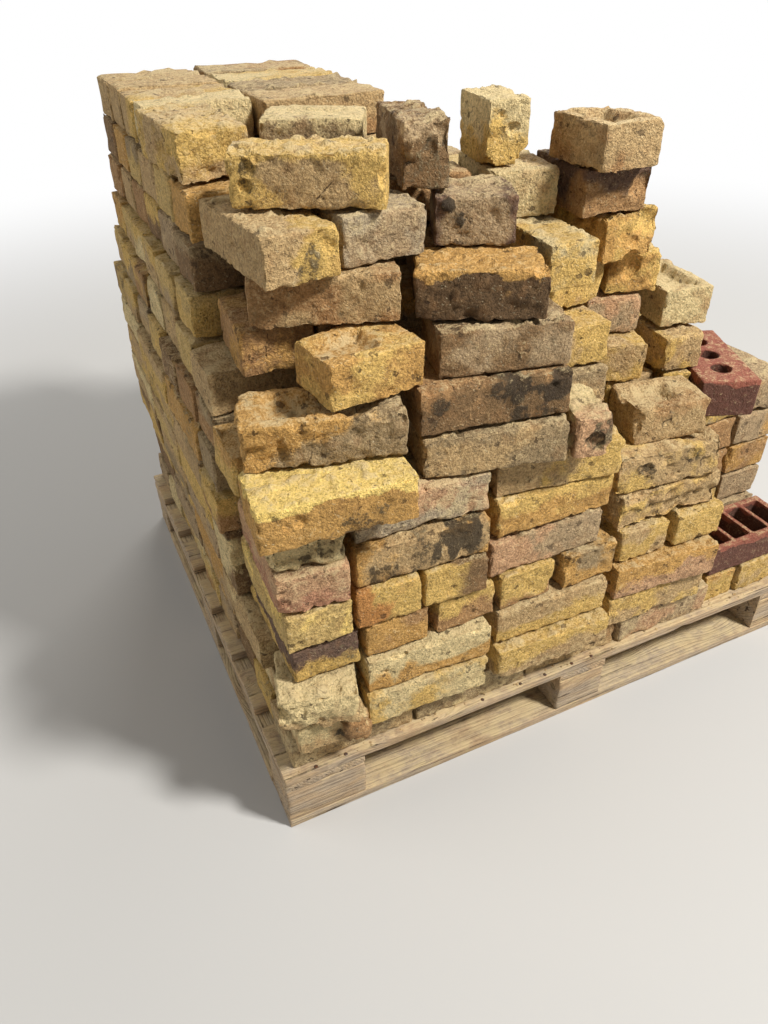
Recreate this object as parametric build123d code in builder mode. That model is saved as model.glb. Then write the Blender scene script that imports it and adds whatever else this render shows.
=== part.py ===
from build123d import *
import math
import os

os.makedirs("parts", exist_ok=True)

# Pallet: a four-way block pallet, ground at Z 0, its centre on the Z axis
PALLET_LENGTH = 1200
PALLET_WIDTH = 1000
BOARD_THICKNESS = 18
BLOCK_HEIGHT = 78
DECK_BOARD_COUNT = 7
DECK_BOARD_WIDTH = 98
LEAD_BOARD_WIDTH = 120
SIDE_BLOCK_LENGTH = 145
CENTRE_BLOCK_LENGTH = 105
BLOCK_WIDTH = 98
BASE_BOARD_WIDTH = 98
BOARD_ARRIS = 2
BLOCK_ARRIS = 3

# Heights that follow from the timber
BLOCK_FOOT = BOARD_THICKNESS
BEARER_FOOT = BLOCK_FOOT + BLOCK_HEIGHT
DECK_FOOT = BEARER_FOOT + BOARD_THICKNESS
DECK_TOP = DECK_FOOT + BOARD_THICKNESS

# Nails that show in the lead board's top face
NAIL_HEAD_RADIUS = 3.5
NAIL_HEAD_RISE = 1.2

# Reclaimed stock bricks, two headers with their joints to a stretcher
BRICK_LENGTH = 217
JOINT = 5
HEADER_JOINT = 7
MODULE = BRICK_LENGTH + JOINT
HALF_MODULE = MODULE / 2
BRICK_WIDTH = HALF_MODULE - HEADER_JOINT
COURSE = 69.5
WORN_ARRIS = 4
FROG_LENGTH = 150
FROG_WIDTH = 58
FROG_DEPTH = 14
FROG_TAPER = 20
FROG_RIM = 22
FROG_CORNER = 12

# Laid bricks are placed in steps, STEPS_IN_MODULE of them to one module
STEPS_IN_MODULE = 222
STEP = MODULE / STEPS_IN_MODULE

# Stack grid: stretcher modules across and back, measured from the pallet's near left corner
MODULES_ACROSS = 5
ROWS_BACK = 4
STACK_LEFT = 24 * STEP
FRONT_SETBACK = 12
FIRST_ROW = FRONT_SETBACK + BRICK_WIDTH
STACK_BACK = FIRST_ROW + ROWS_BACK * MODULE

# Red perforated brick
PERFORATED_LENGTH = 215
PERFORATED_WIDTH = 103
PERFORATIONS = 3
PERFORATION_RADIUS = 18
PERFORATION_PITCH = 56
PRESSED_ARRIS = 2

# Red hollow brick
HOLLOW_LENGTH = 215
HOLLOW_WIDTH = 105
HOLLOW_HEIGHT = COURSE - 3.5
HOLLOW_CELLS = 4
HOLLOW_WALL = 14
HOLLOW_WEB = 9
HOLLOW_CELL_CORNER = 3

# The pallet's near left corner in the part's own frame
CORNER_X = -PALLET_LENGTH / 2
CORNER_Y = -PALLET_WIDTH / 2


def course_foot(course):
    """Height of the bed that a course lies on, counted from 0 on the deck."""
    return DECK_TOP + course * COURSE


def wander(course, place, reach):
    """A small hand-laid departure from the line, within plus or minus reach."""
    return reach * math.sin(2.3 * course + 1.7 * place + 0.4 * course * place)


def brick(x, y, turn=0, length=BRICK_LENGTH, depth=BRICK_WIDTH):
    """One brick: its near left corner from the pallet's corner, its turn, and its plan size."""
    return (x, y, turn, length, depth)


def bat(x, y, turn=0, length=STEPS_IN_MODULE, depth=None):
    """One brick placed in steps, and cut or broken to a plan size that is counted in steps too."""
    whole_depth = BRICK_WIDTH if depth is None else depth * STEP
    return brick(x * STEP, y * STEP, turn, length * STEP, whole_depth)


def header(x, y, turn=0, width=BRICK_WIDTH / STEP):
    """One whole brick placed in steps, end on to the face."""
    return brick(x * STEP, y * STEP, turn, width * STEP, BRICK_LENGTH)


def stretcher(x, y, turn=0):
    """One whole brick placed in steps, long side to the face."""
    return brick(x * STEP, y * STEP, turn)


# Bricks of the lit front face, left to right, course by course from the deck up
FRONT = {
    0: [
        bat(22, 15, 0, 222),
        bat(250, 14, 0, 221),
        bat(478, 20, -1, 200),
        bat(684, 12, 0, 216),
        bat(906, 25, 0, 82),
        bat(996, 22, 0, 136),
    ],
    1: [
        header(28, -16, -2, 112),
        stretcher(150, -11, -2),
        bat(388, -17, -3, 224),
        bat(634, 2, -1, 220),
    ],
    2: [
        bat(3, -14, -16, 122, 110),
        stretcher(154, -2, -3),
        bat(391, 2, -2, 221),
        stretcher(638, 1, -5),
    ],
    3: [
        header(40, 8, 0, 108),
        header(158, 8, 0, 106),
        header(281, 7, 1, 107),
        header(397, 8, 1, 104),
        header(521, 6, 0, 106),
        header(646, 17, -1, 105),
        header(766, 12, -1, 106),
    ],
    4: [
        header(34, 3, 0, 103),
        header(144, 6, -2, 105),
        header(256, 4, -2, 108),
        bat(379, 17, 1, 216),
        bat(638, 22, 0, 216),
    ],
    5: [
        header(28, 6, -3, 108),
        stretcher(148, 15, -2),
        bat(390, 25, -1, 215),
        bat(630, 38, -6, 205),
    ],
    6: [
        header(32, 20, -4, 100),
        bat(156, 32, -3, 214),
        bat(392, 40, -8, 215),
        bat(676, 68, -10, 136, 96),
        bat(801, 154, -22, 50, 138),
    ],
    7: [
        stretcher(6, -18, -5),
        stretcher(266, 42, -13),
        bat(486, -10, -15, 58),
        bat(540, 110, 0, 100, 170),
        bat(646, 182, -21, 104),
        bat(788, 150, -6, 80),
    ],
    8: [
        stretcher(20, 66, -14),
        bat(262, 44, -8, 226),
        bat(510, 130, -3, 130, 150),
        bat(656, 208, -8, 104),
        bat(797, 182, -10, 92, 150),
    ],
    9: [
        bat(137, 42, 6, 140),
        bat(300, 66, -13, 190),
        bat(66, 186, -4, 105, 140),
        bat(177, 172, -2, 62, 160),
        bat(529, 166, 14, 150),
        bat(690, 212, -14, 92),
    ],
    10: [
        bat(80, 178, -19, 200),
        bat(284, 108, -26, 176),
        bat(496, 110, -4, 80, 215),
        bat(350, 210, -12, 118),
        bat(640, 172, 3, 102, 180),
    ],
    11: [
        bat(90, 118, 6, 104, 205),
        bat(204, 146, 4, 124, 150),
        bat(327, 277, 0, 140, 56),
        bat(347, 174, -24, 112),
        bat(478, 240, -10, 105, 150),
        bat(602, 186, -5, 112, 150),
    ],
    12: [
        bat(86, 226, -28, 196, 96),
        header(62, 372, 3),
        bat(192, 420, -28, 150),
        bat(596, 150, 0, 102, 128),
    ],
}

# Broken bricks set on edge on top of course 11
EDGEWAYS = (
    bat(312, 200, -12, 66, 150),
    bat(478, 262, -8, 66, 108),
)
EDGEWAYS_COURSE = 12
EDGEWAYS_HEIGHT = 91

# Courses whose left end is a header, so that the shaded left face shows long sides behind it
HEADER_CORNER = (1, 2, 3, 4, 5, 6)

# How many modules each course reaches across behind its front bricks
MODULES_IN_COURSE = (5, 5, 5, 5, 5, 5, 4, 4, 4, 3, 3, 2, 2)

# How far the left face stands off the grid, course by course: out in the middle, back at the top
LEFT_SETBACK = (0, 0, -4, -8, -10, -13, -12, -6, 4, 14, 26, 34, 38)

# The hidden middle of the stack, as runs of courses: first, last, modules across, near side
CORE_NEAR = FIRST_ROW + MODULE
CORE_NEARER = CORE_NEAR - 100 * STEP
CORE_RUNS = (
    (0, 5, 3, CORE_NEAR),
    (0, 5, 2, CORE_NEARER),
    (6, 8, 2, CORE_NEAR),
    (6, 8, 1, CORE_NEARER),
    (9, 10, 1, CORE_NEAR),
)

# Modules whose first row behind the front bricks can't be seen, course by course
BURIED_BEHIND_FRONT = ((1, 2),) * 6 + ((1,),) * 3 + ((),) * 4

# How far back the right-hand module stands above the red hollow brick
RIGHT_SETBACK = 146 * STEP
RIGHT_SETBACK_FROM = 2

# The two red bricks: course, then where each lies
PERFORATED_COURSE = 6
PERFORATED_LAID = brick(834 * STEP, 93 * STEP, -22, PERFORATED_WIDTH, PERFORATED_LENGTH)
HOLLOW_COURSE = 1
HOLLOW_LAID = brick(909 * STEP, 28 * STEP, 0, HOLLOW_LENGTH, HOLLOW_WIDTH)
RED = {PERFORATED_COURSE: [PERFORATED_LAID], HOLLOW_COURSE: [HOLLOW_LAID]}

# Bricks whose frog can be seen from above: course and place in the front list
FROGGED = {8: (0, 4), 9: (0,), 12: (1,)}


def outline(laid):
    """Plan corners of a laid brick."""
    near_x, near_y, turn, length, depth = laid
    lean = math.radians(turn)
    return [
        (near_x + along * math.cos(lean) - deep * math.sin(lean),
         near_y + along * math.sin(lean) + deep * math.cos(lean))
        for along, deep in ((0, 0), (length, 0), (length, depth), (0, depth))
    ]


def front_reach(course, left, right):
    """How far back the front bricks of a course reach between two lines across the stack."""
    reach = FIRST_ROW
    if course >= RIGHT_SETBACK_FROM and left >= STACK_LEFT + (MODULES_ACROSS - 1) * MODULE:
        reach = RIGHT_SETBACK
    for laid in FRONT[course] + RED.get(course, []):
        corners = outline(laid)
        if min(c[0] for c in corners) < right and max(c[0] for c in corners) > left:
            reach = max(reach, max(c[1] for c in corners) + JOINT)
    return reach


def is_hidden(course, module, row):
    """True where a cell of the grid has bricks on every side of it and above it."""
    modules = MODULES_IN_COURSE[course]
    if course + 1 == len(MODULES_IN_COURSE):
        return False
    if module == 0 or module >= modules - 1 or module >= MODULES_IN_COURSE[course + 1]:
        return False
    if row == 0:
        return module in BURIED_BEHIND_FRONT[course]
    return row < ROWS_BACK - 1


def rest_of_course(course):
    """Bricks of a course behind the front ones: left, back and right faces and any open top."""
    bricks = []
    lengthwise = course in HEADER_CORNER
    for module in range(MODULES_IN_COURSE[course]):
        for row in range(ROWS_BACK):
            if is_hidden(course, module, row):
                continue
            for half in range(2):
                nudge = wander(course, 2 * row + half + module, 4)
                shift = LEFT_SETBACK[course] * STEP + nudge if module == 0 else 0
                x = STACK_LEFT + module * MODULE
                y = FIRST_ROW + row * MODULE
                if lengthwise:
                    x = x + half * HALF_MODULE
                    length, depth = BRICK_WIDTH, BRICK_LENGTH
                    shift = shift if half == 0 else 0
                else:
                    y = y + half * HALF_MODULE
                    length, depth = BRICK_LENGTH, BRICK_WIDTH
                x = x + shift
                length = length - max(shift, 0)
                start = front_reach(course, x, x + length)
                if y < start:
                    depth = depth - (start - y)
                    y = start
                if depth > BRICK_WIDTH / 2:
                    bricks.append(brick(x, y, 0, length, depth))
    return bricks


def lay(bricks):
    """Plan outlines of bricks, for the sketch of a course."""
    for near_x, near_y, turn, length, depth in bricks:
        with Locations((CORNER_X + near_x, CORNER_Y + near_y)):
            Rectangle(length, depth, rotation=turn, align=(Align.MIN, Align.MIN))


def bed(course):
    """The plane that a course lies on."""
    return Plane.XY.offset(course_foot(course))


def middle_of(laid):
    """Where the middle of a laid brick is in plan, turned as it lies."""
    turn = laid[2]
    corners = outline(laid)
    across = (corners[0][0] + corners[2][0]) / 2
    back = (corners[0][1] + corners[2][1]) / 2
    return Location((CORNER_X + across, CORNER_Y + back), (0, 0, turn))


def draw_frog(laid):
    """The rim of the tapered hollow in the top bed of a brick."""
    length, depth = laid[3:]
    frog_length = min(FROG_LENGTH, max(length, depth) - 2 * FROG_RIM)
    frog_width = min(FROG_WIDTH, min(length, depth) - 2 * FROG_RIM)
    turned = 0 if length > depth else 90
    with Locations(middle_of(laid)):
        RectangleRounded(frog_length, frog_width, FROG_CORNER, rotation=turned)


# Lengthwise deck boards, the two lead boards wider than the rest
inner_room = PALLET_WIDTH - 2 * LEAD_BOARD_WIDTH - (DECK_BOARD_COUNT - 2) * DECK_BOARD_WIDTH
deck_gap = inner_room / (DECK_BOARD_COUNT - 1)
for index in range(DECK_BOARD_COUNT):
    lead = index in (0, DECK_BOARD_COUNT - 1)
    board_width = LEAD_BOARD_WIDTH if lead else DECK_BOARD_WIDTH
    board_y = CORNER_Y + index * (DECK_BOARD_WIDTH + deck_gap)
    if index > 0:
        board_y = board_y + LEAD_BOARD_WIDTH - DECK_BOARD_WIDTH
    with BuildPart() as deck_board:
        with BuildSketch(Plane.XY.offset(DECK_FOOT)):
            with Locations((0, board_y + board_width / 2)):
                Rectangle(PALLET_LENGTH, board_width)
        extrude(amount=BOARD_THICKNESS)
        chamfer(deck_board.edges().filter_by(Axis.X).group_by(Axis.Z)[-1], length=BOARD_ARRIS)
    deck_board.part.label = f"deck_board_{index + 1}"
    export_step(deck_board.part, f"parts/deck_board_{index + 1}.step")

# Bearers, blocks and the crosswise base boards stand in three lines under the deck
block_lines = (
    ("left", CORNER_X + SIDE_BLOCK_LENGTH / 2, SIDE_BLOCK_LENGTH),
    ("middle", 0, CENTRE_BLOCK_LENGTH),
    ("right", -CORNER_X - SIDE_BLOCK_LENGTH / 2, SIDE_BLOCK_LENGTH),
)
block_rows = (
    ("front", CORNER_Y + BLOCK_WIDTH / 2),
    ("centre", 0),
    ("back", -CORNER_Y - BLOCK_WIDTH / 2),
)
for line_name, line_x, line_length in block_lines:
    with BuildPart() as bearer:
        with BuildSketch(Plane.XY.offset(BEARER_FOOT)):
            with Locations((line_x, 0)):
                Rectangle(line_length, PALLET_WIDTH)
        extrude(amount=BOARD_THICKNESS)
    bearer.part.label = f"bearer_{line_name}"
    export_step(bearer.part, f"parts/bearer_{line_name}.step")

    for row_name, row_y in block_rows:
        with BuildPart() as block:
            with BuildSketch(Plane.XY.offset(BLOCK_FOOT)):
                with Locations((line_x, row_y)):
                    Rectangle(line_length, BLOCK_WIDTH)
            extrude(amount=BLOCK_HEIGHT)
            chamfer(block.edges().filter_by(Axis.Z), length=BLOCK_ARRIS)
        block.part.label = f"block_{row_name}_{line_name}"
        export_step(block.part, f"parts/block_{row_name}_{line_name}.step")

    with BuildPart() as base_board:
        with BuildSketch():
            with Locations((line_x, 0)):
                Rectangle(line_length, PALLET_WIDTH - 2 * BASE_BOARD_WIDTH)
        extrude(amount=BOARD_THICKNESS)
    base_board.part.label = f"base_board_{line_name}"
    export_step(base_board.part, f"parts/base_board_{line_name}.step")

# Lengthwise base boards at the front and the back
for side_name, side in (("front", -1), ("back", 1)):
    with BuildPart() as base_lead:
        with BuildSketch():
            with Locations((0, side * (PALLET_WIDTH - BASE_BOARD_WIDTH) / 2)):
                Rectangle(PALLET_LENGTH, BASE_BOARD_WIDTH)
        extrude(amount=BOARD_THICKNESS)
    base_lead.part.label = f"base_board_{side_name}"
    export_step(base_lead.part, f"parts/base_board_{side_name}.step")

# Nail heads standing proud in the strip of lead board in front of the bricks, placed along its length
NAIL_SPOTS = (
    (0.048, 0), (0.093, 1), (0.315, 0), (0.383, 1), (0.427, 0), (0.478, 1), (0.515, 0), (0.908, 1), (0.958, 0),
)
with BuildPart() as nail_heads:
    with BuildSketch(Plane.XY.offset(DECK_TOP)):
        for nail_along, nail_in in NAIL_SPOTS:
            nail_x = CORNER_X + nail_along * PALLET_LENGTH
            with Locations((nail_x, CORNER_Y + nail_in + BOARD_ARRIS + NAIL_HEAD_RADIUS)):
                Circle(NAIL_HEAD_RADIUS)
    extrude(amount=NAIL_HEAD_RISE)
nail_heads.part.label = "nail_heads"
export_step(nail_heads.part, "parts/nail_heads.step")

# Courses of bricks
for course in range(len(FRONT)):
    with BuildPart() as course_part:
        with BuildSketch(bed(course)):
            lay(FRONT[course])
        extrude(amount=COURSE)
        chamfer(course_part.edges(), length=WORN_ARRIS)
        if course in FROGGED:
            with BuildSketch(bed(course + 1)):
                for place in FROGGED[course]:
                    draw_frog(FRONT[course][place])
            extrude(amount=-FROG_DEPTH, taper=FROG_TAPER, mode=Mode.SUBTRACT)
        with BuildSketch(bed(course)):
            lay(rest_of_course(course))
        extrude(amount=COURSE)
    course_part.part.label = f"brick_course_{course + 1:02d}"
    export_step(course_part.part, f"parts/brick_course_{course + 1:02d}.step")

with BuildPart() as bricks_on_edge:
    with BuildSketch(bed(EDGEWAYS_COURSE)):
        lay(EDGEWAYS)
    extrude(amount=EDGEWAYS_HEIGHT)
    chamfer(bricks_on_edge.edges(), length=WORN_ARRIS)
bricks_on_edge.part.label = "bricks_on_edge"
export_step(bricks_on_edge.part, "parts/bricks_on_edge.step")

# One plain filling for the bricks that no side shows
with BuildPart() as hidden_filling:
    for first, last, modules, near in CORE_RUNS:
        core_left = STACK_LEFT + MODULE
        core_width = modules * MODULE - JOINT
        core_depth = STACK_BACK - MODULE - JOINT - near
        with BuildSketch(bed(first)):
            with Locations((CORNER_X + core_left, CORNER_Y + near)):
                Rectangle(core_width, core_depth, align=(Align.MIN, Align.MIN))
        extrude(amount=(last - first + 1) * COURSE)
hidden_filling.part.label = "hidden_filling"
export_step(hidden_filling.part, "parts/hidden_filling.step")

# Red perforated brick: three round holes right through its bed
with BuildPart() as red_perforated_brick:
    with BuildSketch(bed(PERFORATED_COURSE)):
        lay([PERFORATED_LAID])
        with Locations(middle_of(PERFORATED_LAID)):
            with GridLocations(0, PERFORATION_PITCH, 1, PERFORATIONS):
                Circle(PERFORATION_RADIUS, mode=Mode.SUBTRACT)
    extrude(amount=COURSE)
    chamfer(red_perforated_brick.edges().filter_by(GeomType.LINE), length=PRESSED_ARRIS)
red_perforated_brick.part.label = "red_perforated_brick"
export_step(red_perforated_brick.part, "parts/red_perforated_brick.step")

# Red hollow brick: open cells between thin webs
with BuildPart() as red_hollow_brick:
    cell_pitch = (HOLLOW_LENGTH - 2 * HOLLOW_WALL + HOLLOW_WEB) / HOLLOW_CELLS
    with BuildSketch(bed(HOLLOW_COURSE)):
        lay([HOLLOW_LAID])
        with Locations(middle_of(HOLLOW_LAID)):
            with GridLocations(cell_pitch, 0, HOLLOW_CELLS, 1):
                RectangleRounded(cell_pitch - HOLLOW_WEB, HOLLOW_WIDTH - 2 * HOLLOW_WALL, HOLLOW_CELL_CORNER,
                                 mode=Mode.SUBTRACT)
    extrude(amount=HOLLOW_HEIGHT)
    chamfer(red_hollow_brick.edges().filter_by(Axis.Z).group_by(SortBy.DISTANCE)[-1], length=PRESSED_ARRIS)
red_hollow_brick.part.label = "red_hollow_brick"
export_step(red_hollow_brick.part, "parts/red_hollow_brick.step")
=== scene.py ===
import itertools
import math
from collections import namedtuple

import bpy
import numpy as np
from mathutils import Matrix, Vector


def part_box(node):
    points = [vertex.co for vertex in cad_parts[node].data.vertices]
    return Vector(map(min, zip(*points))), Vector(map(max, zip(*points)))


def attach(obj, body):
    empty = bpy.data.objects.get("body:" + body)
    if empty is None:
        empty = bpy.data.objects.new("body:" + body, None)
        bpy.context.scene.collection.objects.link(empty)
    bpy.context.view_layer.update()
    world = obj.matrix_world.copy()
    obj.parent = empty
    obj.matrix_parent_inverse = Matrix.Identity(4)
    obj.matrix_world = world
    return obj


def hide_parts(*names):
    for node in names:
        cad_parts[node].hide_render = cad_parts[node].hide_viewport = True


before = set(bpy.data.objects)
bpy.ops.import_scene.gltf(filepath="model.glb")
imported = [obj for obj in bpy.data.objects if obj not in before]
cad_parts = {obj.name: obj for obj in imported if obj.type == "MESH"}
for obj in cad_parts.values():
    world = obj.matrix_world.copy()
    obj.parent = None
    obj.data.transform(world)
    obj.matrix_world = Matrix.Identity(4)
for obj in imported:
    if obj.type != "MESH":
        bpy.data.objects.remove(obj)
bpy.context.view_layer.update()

CAD_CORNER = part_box("deck_board_1")[0]

bl_info = {
    "name": "Pallet of Bricks",
    "version": (1, 0, 0),
    "blender": (4, 5, 0),
    "location": "View3D > Sidebar > Bricks",
    "description": "Dresses a pallet stacked with reclaimed stock bricks",
    "category": "Add Mesh",
}

MM = 0.001
COURSES = 13
FULL_TURN = 6.28  # radians
HEAD_LEAN = 0.12  # radians that a nail head leans at most
SMOOTH_BELOW = math.radians(48)

# Colours of the fired clay, by the names a bricklayer would give them, as they look on screen
CLAYS = {
    "straw": (0.90, 0.77, 0.44),
    "yellow": (0.79, 0.65, 0.37),
    "ochre": (0.74, 0.57, 0.32),
    "buff": (0.71, 0.59, 0.41),
    "cream": (0.82, 0.73, 0.53),
    "moss": (0.76, 0.64, 0.40),
    "orange": (0.70, 0.49, 0.27),
    "tan": (0.64, 0.49, 0.32),
    "brown": (0.50, 0.39, 0.26),
    "umber": (0.39, 0.30, 0.20),
    "drab": (0.60, 0.51, 0.37),
    "grey": (0.65, 0.58, 0.47),
    "pink": (0.73, 0.57, 0.42),
    "dun": (0.66, 0.56, 0.42),
    "rose": (0.68, 0.49, 0.37),
    "plum": (0.41, 0.32, 0.26),
    "red": (0.57, 0.34, 0.27),
    "wine": (0.39, 0.26, 0.21),
}

# What the other bricks draw their clays from, the commoner ones named more than once, and where these lie.
# The right end of the stack has darker ones, partly their own colour and partly painted shade.
COMMON = ("buff", "yellow", "ochre", "buff", "drab", "cream", "yellow", "tan", "dun", "brown", "moss", "buff")
RIGHT_END = ("ochre", "tan", "brown", "yellow", "dun", "tan")
RIGHT_END_FROM = 880  # mm from the pallet's corner
SPREAD = ("patches", "patches", "top", "foot", "left", "right")
OWN_LOOK_WITHIN = 30  # mm between a brick's corner and the one given for a look

# Where the random draws of looks, of places in the pattern and of boards start
SEEDS_A_COURSE = 1000
LOT_SEED = 77
BOARD_SEED = 400

# Where the second clay lies on a brick, from places that run from -1 to 1 along, across and up it
PULLS = {
    "patches": lambda x, y, z: 0 * x,
    "left": lambda x, y, z: -x,
    "right": lambda x, y, z: x,
    "front": lambda x, y, z: -0.6 * y,
    "top": lambda x, y, z: 0.9 * z,
    "foot": lambda x, y, z: -0.9 * z,
    "bed": lambda x, y, z: 0.2 * z - 0.9,
    "left_top": lambda x, y, z: 0.5 * z - 1.3 * x,
    "top_patches": lambda x, y, z: 0.4 * z,
    "rim": lambda x, y, z: np.maximum(1.3 * np.abs(x) - 0.7, 1.6 * z - 1.1),
    "corners": lambda x, y, z: 1.6 * (np.abs(x) - 0.62) + 0.5 * (np.abs(z) - 0.6),
}

# Places to break the arrises and to sink pits on the bricks without a look of their own
EDGE_SPOTS = ((-1, -1, 0.4), (1, -1, 0.2), (-1, 1, 0.6), (1, 1, -0.3), (-1, 0.3, 1), (1, -0.2, 1),
              (-1, -0.4, -1), (0.3, 1, 1), (-0.5, -1, 1), (1, 0.4, -1), (0.6, 1, -1))
FACE_SPOTS = ((-1, 0.2, 0.1), (1, -0.3, 0.2), (0.3, 1, 0.1), (-0.4, 1, -0.3), (-1, -0.5, 0.3), (1, 0.5, -0.2))
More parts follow.
